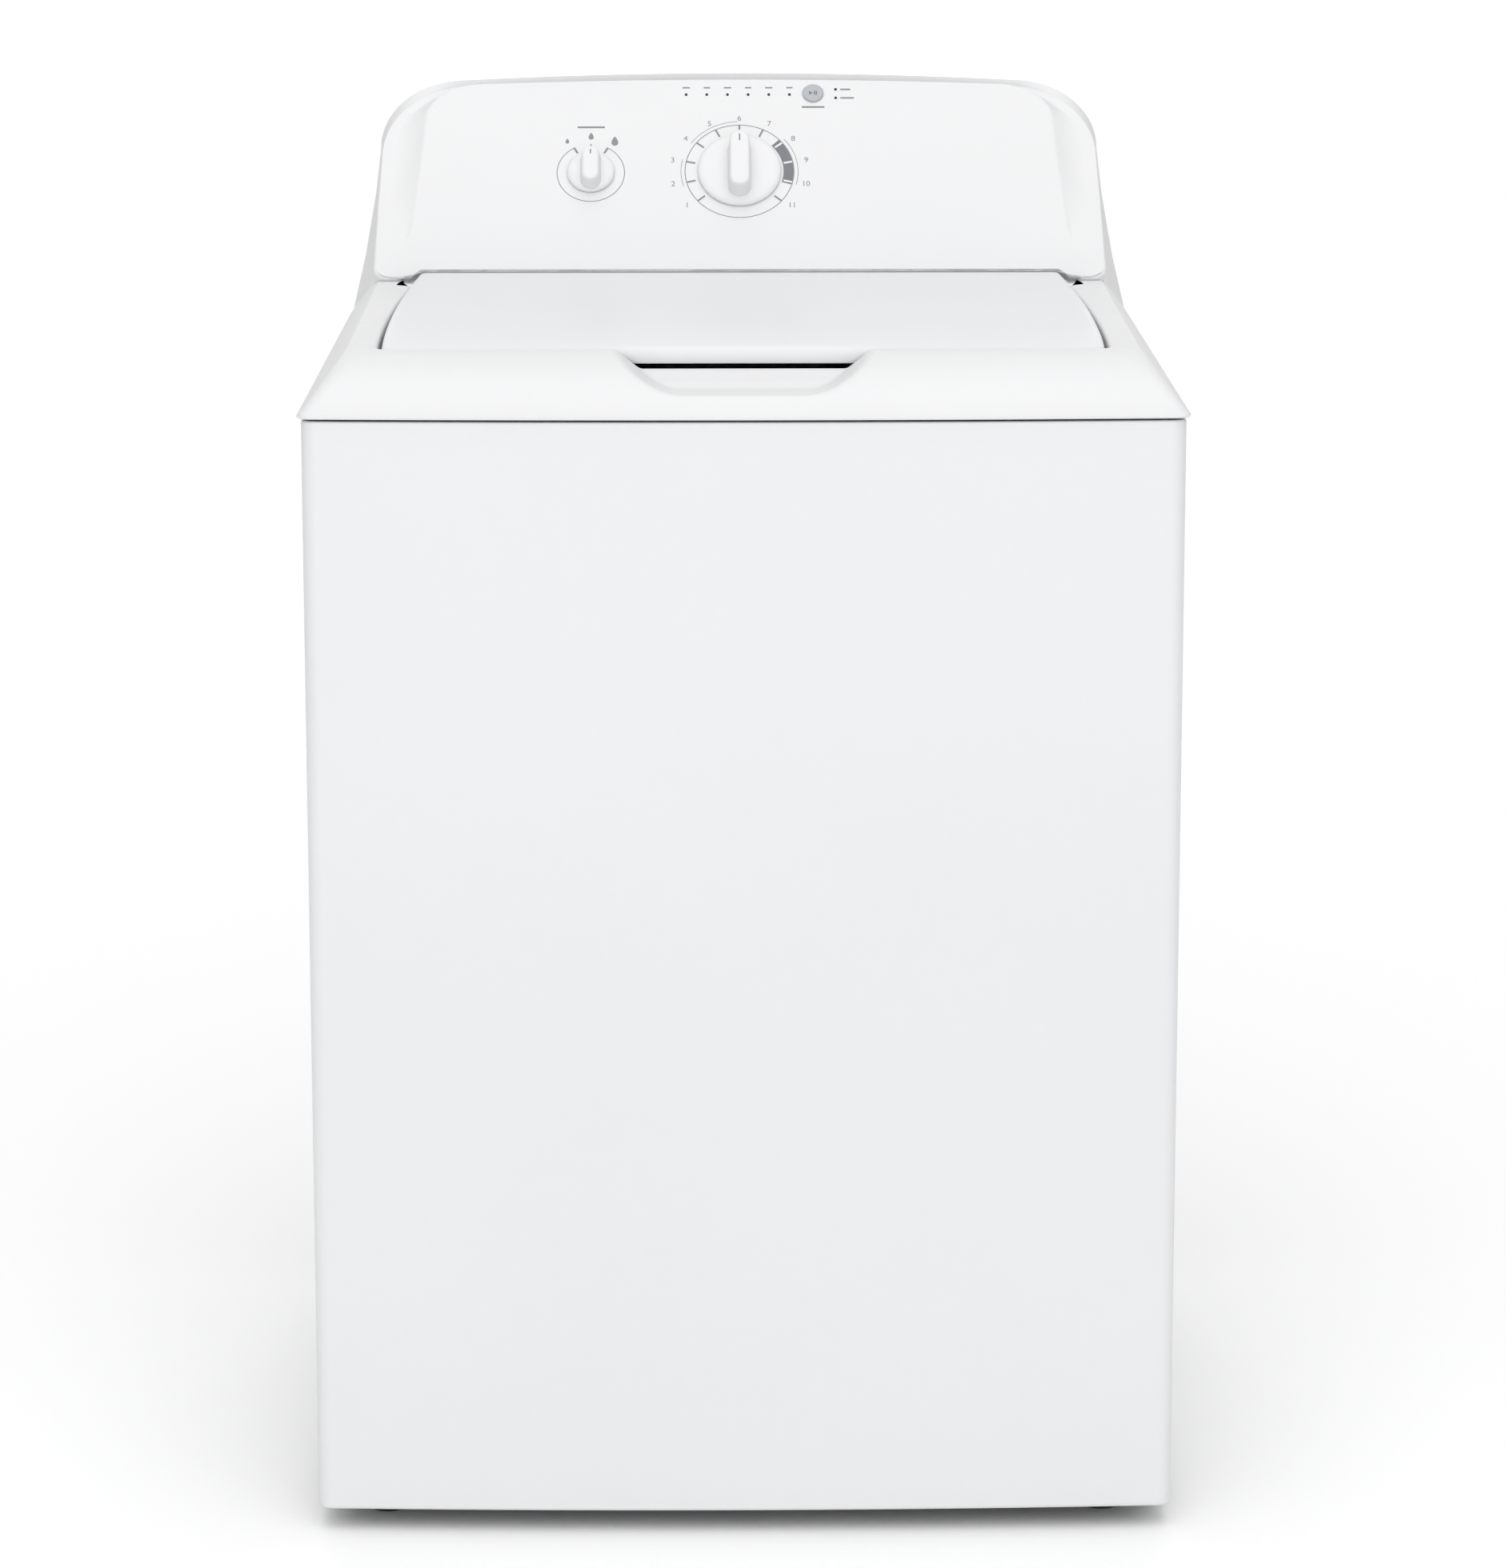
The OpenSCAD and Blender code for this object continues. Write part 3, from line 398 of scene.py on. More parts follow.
# ---- front panel
def panel_plan(inset, half, front, bow, radius, back, n_bow=72, n_arc=9):
    """Plan of the bowed front, drawn inset from its outer line."""
    r = max(radius - inset, 0.4)
    left = [(-half + inset, back)]
    left += [
        (-half + inset + r - r * cos(a), front + inset + r - r * sin(a)) for a in arc_steps(n_arc)
    ]
    middle = []
    for i in range(1, n_bow):
        t = -1 + 2 * i / n_bow
        middle.append(((half - inset - r) * t, front + inset - bow * (1 - t * t)))
    return left + middle + [(-x, y) for x, y in reversed(left)]


def front_panel():
    """The bowed front as one steel sheet, with rounded edges and lips turned in at the top and bottom."""
    edge, steel, lip, corner = 4.0, 1.2, 18.0, 12
    outer = [(edge - edge * sin(a), CAB_BOTTOM + edge - edge * cos(a)) for a in arc_steps(5)]
    top = [(edge / 2 * (1 - cos(a)), CAB_TOP - edge / 2 * (1 - sin(a))) for a in arc_steps(4)]
    inner = [
        (lip, CAB_TOP), (lip, CAB_TOP - steel),
        (steel + 2, CAB_TOP - steel), (steel, CAB_TOP - steel - 2),
        (steel, CAB_BOTTOM + steel + 2), (steel + 2, CAB_BOTTOM + steel),
        (lip, CAB_BOTTOM + steel), (lip, CAB_BOTTOM),
    ]
    loops = []
    for inset, z in outer + top + inner:
        plan = panel_plan(inset, CAB_HALF, FRONT_Y, BOW, corner, panel_high.y)
        loops.append([Vector((x, y, z)) for x, y in plan])
    Shape().loft(loops, closed=False, ring=True).piece(
        "front_panel_skin", "enamel", "white_enamel", "cabinet", ["front_panel"]
    )


# ---- deck
# Front and rear edges take more points over the finger scoop, the middle SCOOP_U of them, than at its sides
N_SIDE, N_CORNER = 110, 9
SCOOP_U, N_SCOOP, N_WING = 0.40, 110, 22
FRONT_U = [-1 + (1 - SCOOP_U) * (i + 0.5) / N_WING for i in range(N_WING)]
FRONT_U += [-SCOOP_U + 2 * SCOOP_U * (i + 0.5) / N_SCOOP for i in range(N_SCOOP)]
FRONT_U += [-u for u in reversed(FRONT_U[:N_WING])]


def outline(half_front, half_back, bulge, front, back, bow, radius, z):
    """A closed loop seen from above: bowed front, bulging sides and rounded corners."""
    z_at = z if callable(z) else (lambda x, y: z)
    points = []
    for u in FRONT_U:
        points.append(((half_front - radius) * u, front - bow * (1 - u * u)))
    corner = [pi / 2 * (i + 0.5) / N_CORNER for i in range(N_CORNER)]
    front_right = [
        (half_front - radius + radius * sin(a), front + radius - radius * cos(a)) for a in corner
    ]
    side = []
    for i in range(N_SIDE):
        y = mix(front + radius, back - radius, (i + 0.5) / N_SIDE)
        t = (y - front) / (back - front)
        side.append((mix(half_front, half_back, t) + 4 * bulge * t * (1 - t), y))
    back_right = [
        (half_back - radius + radius * cos(a), back - radius + radius * sin(a)) for a in corner
    ]
    rear = [((half_back - radius) * u, back) for u in reversed(FRONT_U)]
    right = front_right + side + back_right
    points += right + rear + [(-x, y) for x, y in reversed(right)]
    return [Vector((x, y, z_at(x, y))) for x, y in points]


LID_CORNER = 9


def lid_outline(grow, z):
    """The lid's outline seen from above, grown outwards."""
    return outline(
        LID_FRONT_HALF + grow, LID_BACK_HALF + grow, LID_BULGE, LID_FRONT - grow, LID_BACK + grow, 0,
        max(LID_CORNER + grow, 2), z
    )


def deck_skin(angle, inset):
    """The deck's outer surface at one step of its curve from the seam, 0, up to the rim."""
    c, s = cos(angle), sin(angle)
    flank = 0.88 * (1 - s) + 0.12 * c
    return outline(
        RIM_FRONT + (DECK_HALF - RIM_FRONT - inset) * flank,
        RIM_BACK + (DECK_HALF - RIM_BACK - inset) * flank, 0,
        DECK_FRONT + inset + (FASCIA_D - inset) * (1 - c), DECK_REAR - inset - 1.5 * (1 - c),
        mix(3, BOW, c), 10 + 5 * s - inset * 0.6, DECK_Z + (DECK_TOP - DECK_Z - inset) * s
    )


LEDGE_END, LEDGE_EXTRA, LEDGE_X = -261, 20, 96


def pan_floor(x, y):
    """The recess under the lid: a ledge along the front, narrow behind the finger scoop, then the pan."""
    end = LEDGE_END + LEDGE_EXTRA * smoothstep((abs(x) - LEDGE_X) / 16)
    return mix(PAN_Z, LEDGE_Z, smoothstep((end - y) / 6))


# The finger scoop, raised at its ends. The keys are its middle's places and heights over its front lip.
SCOOP_FLAT, SCOOP_REACH, SCOOP_RISE, SCOOP_Z = 45, 54, 27.5, 920.3
SCOOP_EDGE, SCOOP_END = 14, -250
SCOOP_KEYS = [
    (-345, -0.6), (-306, 0.5), (-301, 1.2), (-295, 3.4), (-290, 5.3), (-286.5, 6.2), (-282, 7.4),
    (-272, 10.9), (-264, 13.2), (-240, 14),
]


def scoop_profile(y):
    """Height of the scoop's middle over its front lip: flat floor, a rise, a crease and the back slope."""
    for (y0, z0), (y1, z1) in zip(SCOOP_KEYS, SCOOP_KEYS[1:]):
        if y <= y1:
            return mix(z0, z1, max(0.0, (y - y0) / (y1 - y0)))
    return SCOOP_KEYS[-1][1]


def blend(a, b, width):
    """How far a rounded edge of some width lies off the sharp one where two heights meet."""
    h = max(width - abs(a - b), 0) / width
    return h * h * width * 0.25


def scoop_height(x, y):
    """The finger scoop's surface, with ends that climb ever steeper to the rim."""
    reach = max(0.0, abs(x) - SCOOP_FLAT) / SCOOP_REACH
    end, middle = SCOOP_RISE * reach * reach, scoop_profile(y)
    return SCOOP_Z + max(end, middle) + blend(end, middle, 1.2)


def scooped(loop, below=0.0):
    """Lowers the points of a loop that stand above the scoop, rounding the edge between them."""
    out = []
    for p in loop:
        z = p.z
        if abs(p.x) < SCOOP_FLAT + SCOOP_REACH + SCOOP_EDGE and p.y < SCOOP_END:
            cut = scoop_height(p.x, p.y) - below
            z = min(z, cut) - blend(z, cut, 5.0)
        out.append(Vector((p.x, p.y, z)))
    return out


MOUTH_HALF, MOUTH_FRONT, MOUTH_BACK, MOUTH_R = 225, -232, 152, 88


def mouth_outline(grow, z):
    """The opening over the tub, grown outwards."""
    half = MOUTH_HALF + grow
    return outline(half, half, 0, MOUTH_FRONT - grow, MOUTH_BACK + grow, 0, MOUTH_R + grow, z)


PIN_FRONT, PIN_BACK, PIN_X, PIN_ROOM = 152, 193, 262, 11


def hinge_notch(loop):
    """Widens the recess beside the lid's rear corners, where the hinge pins cross the gap."""
    out = []
    for p in loop:
        along = smoothstep((p.y - PIN_FRONT) / 9) * smoothstep((PIN_BACK - p.y) / 5)
        near = along * smoothstep((abs(p.x) - PIN_X) / 10)
        out.append(Vector((p.x + copysign(PIN_ROOM * near, p.x), p.y, p.z)))
    return out


def recess_outline(grow, z):
    """Edge of the recess round the lid, with more room behind it for the lid's rear edge to swing down."""
    loop = lid_outline(grow, z)
    ramp = 18
    for p in loop:
        p.y += SWING_ROOM * smoothstep((p.y - LID_BACK + ramp) / ramp)
    return loop


def deck():
    """One moulding: up from the seam, over the rim, into the recess, down the mouth and back underneath."""
    rim_r, lip_r, collar_z = 3, 4, (900, 890)
    skin = [deck_skin(a, 0) for a in arc_steps(36)]
    base = [
        [Vector((p.x * k, p.y * k, z)) for p in skin[0]] for k, z in
        ((0.985, SEAM_TOP), (0.9962, SEAM_TOP), (0.9987, SEAM_TOP + 0.5), (0.9998, SEAM_TOP + 1.4))
    ]
    rim_edge = recess_outline(RECESS_GAP + rim_r, DECK_TOP)
    rim = [mix_loops(skin[-1], rim_edge, t) for t in (0.12, 0.3, 0.55, 0.8)]
    turn = [
        recess_outline(RECESS_GAP + rim_r * (1 - sin(a)), DECK_TOP - rim_r * (1 - cos(a)))
        for a in arc_steps(5)
    ]
    drop = [recess_outline(RECESS_GAP, 941), recess_outline(RECESS_GAP, lambda x, y: pan_floor(x, y) + 2)]
    pan = [
        recess_outline(RECESS_GAP - k, pan_floor)
        for k in (1.5, 4, 6, 7.5, 9, 11, 14, 18, 21, 23, 25, 27, 29)
    ]
    flat = [mix_loops(pan[-1], mouth_outline(lip_r, PAN_Z), t) for t in (0.35, 0.7)]
    collar = [
        mouth_outline(lip_r * (1 - sin(a)), PAN_Z - lip_r * (1 - cos(a))) for a in arc_steps(4)
    ]
    collar += [mouth_outline(0, z) for z in collar_z]
    under = [mouth_outline(DECK_WALL, z) for z in reversed(collar_z)]
    under.append(mouth_outline(DECK_WALL, PAN_Z - lip_r - DECK_WALL))
    under_pan = [
        recess_outline(RECESS_GAP - k, lambda x, y: pan_floor(x, y) - DECK_WALL) for k in (29, 22, 11, 6, -3)
    ]
    under_rim = [hinge_notch(recess_outline(RECESS_GAP + DECK_WALL, 942))]
    under_skin = [deck_skin(a, DECK_WALL) for a in reversed(arc_steps(12))]
    above = [scooped(loop) for loop in base + skin + rim + [hinge_notch(q) for q in turn + drop] + pan]
    below = [scooped(loop, DECK_WALL) for loop in under_pan + under_rim + under_skin]
    shape = Shape().loft(above + flat + collar + under + below, ring=True)
    shape.piece("deck_moulding", "plastic", "white_plastic", "cabinet", ["top_cover"], sharp=50)


# ---- lid
def edge_steps(n, edge):
    """Fractions from 0 to 1, close together near both ends."""
    fine = [0, edge * 0.1, edge * 0.3, edge * 0.6, edge, edge * 1.5, edge * 2.2]
    middle = [mix(edge * 2.2, 1 - edge * 2.2, (i + 1) / n) for i in range(n - 1)]
    return fine + middle + [1 - f for f in reversed(fine)]


def lid():
    """The outer panel: a slightly domed top that drops towards its rounded edges, over a plain underside."""
    depth = LID_BACK - LID_FRONT
    across, along = edge_steps(36, 0.012), edge_steps(36, 0.014)
    dome, side_r, front_r, front_drop, front_ramp = 2.6, 5.0, 7.0, 1.8, 60

    def half_at(t):
        """Half the lid's width at a share of its depth from the front."""
        return mix(LID_FRONT_HALF, LID_BACK_HALF, t) + 4 * LID_BULGE * t * (1 - t)

    def plan(u, t):
        """A point of the lid seen from above, with its corners rounded."""
        half, y = half_at(t), LID_FRONT + depth * t
        from_end = min(y - LID_FRONT, LID_BACK - y)
        if from_end < LID_CORNER:
            half -= LID_CORNER - sqrt(max(LID_CORNER ** 2 - (LID_CORNER - from_end) ** 2, 0))
        return half * u, y

    def height(u, t):
        """Height of the top's surface, eased down near each edge."""
        x, y = plan(u, t)
        edge_x = half_at(t) - abs(x)
        top = LID_TOP + LID_RISE * t + dome * (1 - u * u) * sin(pi * min(1, 0.25 + t))
        top -= front_drop * (1 - smoothstep((y - LID_FRONT) / front_ramp))
        for gap, r in ((edge_x, side_r), (y - LID_FRONT, front_r), (LID_BACK - y, side_r)):
            if gap < r:
                top -= (r - sqrt(r * r - (r - gap) ** 2)) * 0.9
        return top

    shape = Shape()
    top_rows = []
    for t in along:
        row = []
        for f in across:
            u = -1 + 2 * f
            x, y = plan(u, t)
            row.append(Vector((x, y, height(u, t))))
        top_rows.append(row)
    shape.loft(top_rows, closed=False)
    border = top_rows[0] + [r[-1] for r in top_rows[1:]]
    border += list(reversed(top_rows[-1]))[1:] + [r[0] for r in reversed(top_rows[1:-1])]
    rim = [Vector((p.x, p.y, LID_RIM + 1.5)) for p in border]
    middle_y = -40
    under = [Vector((p.x * 0.9965, mix(p.y, middle_y, 0.0035), LID_RIM)) for p in border]
    inner = [Vector((p.x * 0.988, mix(p.y, middle_y, 0.012), LID_RIM)) for p in border]
    shape.loft([border, rim, under, inner], cap_last=True)
    shape.piece("lid_skin", "lid", "lid_enamel", "lid", ["lid_panel"], sharp=40)


# ---- console
def mirrored(right):
    """An open line drawn up the left side and down the right, from its right half, top first."""
    return [(-x, y) for x, y in reversed(right)] + [(x, y) for x, y in right[1:]]


def resample(points, n):
    """The same line with n evenly spaced points, in two dimensions."""
    lengths = [0.0]
    for a, b in zip(points, points[1:]):
        lengths.append(lengths[-1] + dist(a, b))
    out, k = [], 0
    for i in range(n):
        want = lengths[-1] * i / (n - 1)
        while k < len(lengths) - 2 and lengths[k + 1] < want:
            k += 1
        span = lengths[k + 1] - lengths[k] or 1
        t = (want - lengths[k]) / span
        out.append((mix(points[k][0], points[k + 1][0], t), mix(points[k][1], points[k + 1][1], t)))
    return out


N_TOP, N_SHOULDER, N_FLANK = 40, 26, 30


def half_line(top, shoulder, flank):
    """The right half of a console outline from its middle: top, rounded shoulder, then flank."""
    line = resample(top, N_TOP) + resample(shoulder, N_SHOULDER)[1:] + resample(flank, N_FLANK)[1:]
    return mirrored(line)


def round_corner(x0, y0, x1, y1):
    """An elliptic corner from the end of a top edge to the top of a flank."""
    return [(x1 - (x1 - x0) * (1 - sin(a)), y1 + (y0 - y1) * cos(a)) for a in arc_steps(24)]


def arch(half, y_mid, y_end, n=24):
    """The right half of a top edge, highest in the middle."""
    return [(half * i / n, y_mid - (y_mid - y_end) * (i / n) ** 2) for i in range(n + 1)]


# The face's lower edge is at SIDE_V at its sides and at NOTCH_V over the lid, out to NOTCH_HALF
NOTCH_HALF, NOTCH_V, SIDE_V, N_BOTTOM = 280, -5.0, -12, 60
FACE_THICK = 15.2


def bottom_line(half, low, high):
    """The face's lower edge from right to left: low at its sides, raised over the lid, corners rounded."""
    r = 8
    level = NOTCH_HALF - 6
    right = [(half, low), (NOTCH_HALF + r, low)]
    right += [
        (NOTCH_HALF + r * (1 - sin(a)), low + (high - low) * (1 - cos(a))) for a in arc_steps(5)[1:]
    ]
    right += [(level - level * i / 12, high) for i in range(13)]
    half_points = resample(right, N_BOTTOM // 2)
    return half_points + [(-u, v) for u, v in reversed(half_points)][1:]


def centre_line(grow):
    """Edge of the flat central panel, across and up the slope."""
    top_half, shoulder_half, foot_half = 226, 276 + grow, 300 + grow * 0.5
    top = arch(top_half, FACE_LEN - 1.5 + grow, FACE_LEN - 6 + grow)
    shoulder = round_corner(top_half, FACE_LEN - 6 + grow, shoulder_half, 152)
    flank = [(shoulder_half, 152), (279.5 + grow, 106), (286.5 + grow, 39), (291 + grow, 24), (foot_half, 6)]
    line = half_line(top, shoulder, flank)
    return line + bottom_line(foot_half, SIDE_V - grow, NOTCH_V - grow)[1:-1]


def facet_line(grow):
    """Outer edge of the face, with round lower corners."""
    top_half, shoulder_half, foot_half, low_r = 238, 314 + grow, 317.5 + grow, 11
    top = arch(top_half, FACE_LEN + 4.5 + grow, FACE_LEN - 0.5 + grow)
    shoulder = round_corner(top_half, FACE_LEN - 0.5 + grow, shoulder_half, 122)
    flank = [(shoulder_half, 122), (316 + grow, 70), (foot_half, SIDE_V + low_r)]
    flank += [
        (foot_half - low_r * (1 - cos(a)), SIDE_V + low_r - (low_r + grow) * sin(a))
        for a in arc_steps(6)[1:]
    ]
    line = half_line(top, shoulder, flank)
    return line + bottom_line(foot_half - low_r, SIDE_V - grow, NOTCH_V - grow)[1:-1]


def face_depth(v):
    """How far the margin lies behind the central panel: nothing low down, more towards the top."""
    return 11 * smoothstep((v - 22) / 105)


def edge_share(v):
    """How much of the rounded edge round the central panel shows: none along the bottom."""
    return smoothstep((v - 16) / 26)


def hollow_share(v):
    """Share of the way from the central panel to the outer edge that the side hollow takes up."""
    if v > 165:
        return mix(0.62, 0.5, smoothstep((v - 165) / 25))
    return 0.66 * sqrt(max(0.0, smoothstep((v - 27) / 62))) + 0.04


def rear_line(grow):
    """The console's outline where it meets the rear cover, across and up."""
    top_half, shoulder_half = 242, 318 + grow
    top = arch(top_half, TOTAL_H - 1 + grow, TOTAL_H - 7 + grow)
    shoulder = round_corner(top_half, TOTAL_H - 7 + grow, shoulder_half, 1050)
    flank = [(shoulder_half, 1050), (323 + grow, 1010), (333 + grow, 955), (344 + grow, 909)]
    return half_line(top, shoulder, flank)


def face_loop(line, h):
    """A line across and up the slope as points at one distance off the face."""
    return [on_face(u, v, h) for u, v in line]


def rear_loop(line, y):
    """A line across and up as points of one upright plane."""
    return [Vector((x, y, z)) for x, z in line]


def console_front():
    """The control panel: a flat centre, leaf-shaped hollows at its sides and a flat margin."""
    centre, outer = centre_line(0), facet_line(0)
    edge_drop, margin_slope, rim_r, hollow_end = 0.95, 0.06, 2.4, 0.6

    def edge(grow, drop):
        """A loop of the rounded edge round the centre."""
        return [on_face(u, v, -drop * edge_share(v0)) for (u, v), (_, v0) in zip(centre_line(grow), centre)]

    def between(t):
        """A loop from the centre, 0, across the hollow, up to hollow_end, and the margin, up to 1."""
        loop = []
        for (u0, v0), (u1, v1) in zip(centre, outer):
            share = hollow_share((v0 + v1) / 2)
            if t < hollow_end:
                k = t / hollow_end
                place, drop = k * share, 1 - (1 - k) ** 1.7
            else:
                k = (t - hollow_end) / (1 - hollow_end)
                place, drop = mix(share, 1, k), 1 + margin_slope * k
            height = -edge_drop * edge_share(v0) - face_depth(v0) * drop
            loop.append(on_face(mix(u0, u1, place), mix(v0, v1, place), height))
        return loop

    def rim(a):
        """A loop of the rounded outer edge."""
        return [
            on_face(
                u, v,
                -edge_drop * edge_share(v0) - face_depth(v0) * (1 + margin_slope) - rim_r * (1 - cos(a))
            )
            for (u, v), (_, v0) in zip(facet_line(-rim_r * (1 - sin(a))), centre)
        ]

    loops = [edge(-4, 0), edge(-2.4, 0.12), edge(-1, 0.45)]
    hollow_steps = (0.0, 0.05, 0.12, 0.2, 0.3, 0.4, 0.5, 0.56)
    margin_steps = (hollow_end, 0.64, 0.72, 0.82, 0.92, 0.97)
    loops += [between(t) for t in hollow_steps + margin_steps]
    loops += [rim(a) for a in arc_steps(4)]
    loops += [face_loop(facet_line(0), -FACE_THICK), face_loop(facet_line(-3), -FACE_THICK)]
    Shape().loft(loops, cap_first=True, cap_last=True).piece(
        "console_face", "plastic", "white_plastic", "cabinet", ["console_front"], sharp=28
    )


def open_line(line):
    """The outline without its lower edge."""
    return line[:2 * (N_TOP + N_SHOULDER + N_FLANK - 2) - 1]


def console_body():
    """The shell behind the face: a narrow groove, then flared sides back to the rear."""
    front = face_loop(open_line(facet_line(-0.8)), -FACE_THICK - 0.4)
    step = face_loop(open_line(facet_line(0.6)), -FACE_THICK - 1.2)
    back = rear_loop(rear_line(-0.6), REAR_Y - 4)
    edge = rear_loop(rear_line(-2.2), REAR_Y - 2)
    side_hollow = 4
    middle = []
    for t in (0.04, 0.08, 0.14, 0.2, 0.27, 0.35, 0.43, 0.5, 0.58, 0.65, 0.73, 0.8, 0.87, 0.94):
        loop = mix_loops(step, back, t)
        hollow = side_hollow * sin(pi * t)
        for p in loop:
            side = smoothstep((abs(p.x) - 250) / 60) * smoothstep((1075 - p.z) / 60)
            p.x -= copysign(hollow * side, p.x)
        middle.append(loop)
    inside_back = rear_loop(rear_line(-4), REAR_Y - 2)
    inside_front = face_loop(open_line(facet_line(-5)), -FACE_THICK - 1.8)
    loops = [front, step] + middle + [back, edge, inside_back, inside_front]
    Shape().loft(loops, closed=False, ring=True).piece(
        "console_shell", "plastic", "white_plastic", "cabinet", ["console_body"], sharp=40
    )


def console_cover():
    """The sheet metal cover that closes the console's back, with a shallow panel pressed into it."""
    def outline_at(inset):
        """The cover's outline, drawn in, with a straight lower edge."""
        foot_z = cover_low.z + inset
        line = [(x, z) for x, z in rear_line(-1.2 - inset) if z > foot_z]
        foot = [(line[-1][0] * (1 - i / 10), foot_z) for i in range(21)]
        return resample(line + foot, 260)[:-1]

    steps = ((1.0, 1.5), (0, 1.3), (0, 0.3), (0.3, 0), (13, 0), (14.5, 0.9), (16, 1.0))
    loops = [rear_loop(outline_at(inset), REAR_Y - depth) for inset, depth in steps]
    Shape().loft(loops, cap_first=True, cap_last=True).piece(
        "console_cover", "sheet", "zinc_steel", "cabinet", ["console_rear_cover"], sharp=40
    )


# ---- knobs and button
def rounded_bar(half_w, half_l, n=14):
    """A bar's outline with round ends, centred on the knob."""
    r = half_w
    points = []
    for end, start in ((1, 0), (-1, pi)):
        for i in range(n + 1):
            a = start + pi * i / n
            points.append((r * cos(a), end * (half_l - r) + r * sin(a)))
    return points


def rectangle(u0, u1, v0, v1):
    """Corners of an upright rectangle on the face."""
    return [(u0, v0), (u1, v0), (u1, v1), (u0, v1)]


def knob(name, mat, body, node, u, v, skirt_r, bar_w, bar_l, height):
    """A knob: a round skirt, a grip bar across it and a printed pointer on the bar."""
    centre = on_face(u, v)
    profile = [
        (0.01, 0.7), (skirt_r - 1.0, 0.7), (skirt_r - 0.2, 1.2), (skirt_r, 2.0), (skirt_r - 0.2, 2.9),
        (skirt_r - 1.2, 4.0), (skirt_r - 3.0, 4.9), (skirt_r - 5.5, 5.5), (skirt_r * 0.6, 6.1), (0.01, 6.3),
    ]
    shape = Shape().loft(lathe(profile, centre, 120, FACE_AXES))
    half_w, half_l = bar_w / 2, bar_l / 2
    levels = [(0.0, 2.0), (0.9, 4.6), (0.2, 7.0), (-0.2, 10.0), (-0.9, height - 3.4)]
    levels += [(-0.9 - 2.6 * (1 - cos(a)), height - 3.4 + 3.2 * sin(a)) for a in arc_steps(6)[1:]]
    levels.append((-half_w + 1.2, height))
    loops = []
    for grow, h in levels:
        bar = rounded_bar(half_w + grow, half_l + grow)
        loops.append([on_face(u + x, v + y, min(h, height)) for x, y in bar])
    shape.loft(loops, cap_last=True)
    shape.piece(name, mat, "white_plastic", body, [node], sharp=38)
    pointer = Shape()
    tip, length, half = half_l - 5.5, half_l * 0.24, 0.55
    flat_mark(pointer, rectangle(-half, half, tip - length, tip), u, v, height + 0.04)
    pointer.piece(name + "_pointer", "ink_dark", "grey_plastic", body)


def flat_mark(shape, points, u, v, h):
    """A thin printed shape on the face, from its outline round (u, v)."""
    start = len(shape.verts)
    shape.verts.extend(tuple(on_face(u + x, v + y, h)) for x, y in points)
    shape.faces.append(tuple(range(start, start + len(points))))


def band(shape, u, v, r0, r1, a0, a1, h, n=None):
    """A printed arc between two radii; angles in degrees clockwise from up the slope."""
    n = n or max(6, int(abs(a1 - a0) / 2.5))
    rows = []
    for r in (r0, r1):
        row = []
        for i in range(n + 1):
            a = radians(mix(a0, a1, i / n))
            row.append(on_face(u + r * sin(a), v + r * cos(a), h))
        rows.append(row)
    shape.loft(rows, closed=False)


def tick(shape, u, v, r0, r1, angle, width, h):
    """A printed line between two radii."""
    s, c = clock(angle)
    out, side = Vector((s, c)), Vector((c, -s))
    corners = [out * r0 - side * width / 2, out * r1 - side * width / 2]
    corners += [out * r1 + side * width / 2, out * r0 + side * width / 2]
    flat_mark(shape, [tuple(c) for c in corners], u, v, h)


# Heights of the print off the face, the dial's angles and the outer radii of the two printed rings
PRINT_H = 0.12
MARK_H = 0.2
DIAL_TICKS = [26 * i for i in range(-5, 6)]
DIAL_R, LOAD_R = 48, 29.8


def dial_print():
    """The rings, ticks and arcs round both knobs, and the cycle dial's dark sector."""
    rings, dark, light = Shape(), Shape(), Shape()
    band(rings, 0, CYCLE_V, DIAL_R - 0.7, DIAL_R, -180, 180, PRINT_H)
    band(rings, LOAD_U, LOAD_V, LOAD_R - 0.65, LOAD_R, 32, 328, PRINT_H)
    for a in DIAL_TICKS:
        reach = (DIAL_R - 8.5, DIAL_R) if a else (DIAL_R - 5, DIAL_R)
        if not 50 < a < 110:
            tick(rings, 0, CYCLE_V, *reach, a, 1.6, MARK_H)
    for a in (-30, 30):
        tick(rings, LOAD_U, LOAD_V, LOAD_R - 6.5, LOAD_R, a, 1.8, MARK_H)
    tick(rings, LOAD_U, LOAD_V, LOAD_R - 3.4, LOAD_R, 0, 0.9, MARK_H)
    band(dark, 0, CYCLE_V, DIAL_R - 9.5, DIAL_R - 0.8, 47, 107, PRINT_H)
    for a in (52, 78, 104):
        tick(light, 0, CYCLE_V, DIAL_R - 8.5, DIAL_R - 0.8, a, 1.8, MARK_H)
    arc_r = DIAL_R + 3
    for a0, a1 in ((-56, -2), (-108, -76), (50, 106)):
        band(rings, 0, CYCLE_V, arc_r, arc_r + 0.45, a0, a1, PRINT_H)
    rings.piece("dial_rings", "ink", "grey_plastic", "cabinet")
    dark.piece("dial_sector", "ink_dark", "grey_plastic", "cabinet")
    light.piece("dial_sector_marks", "plastic", "white_plastic", "cabinet")


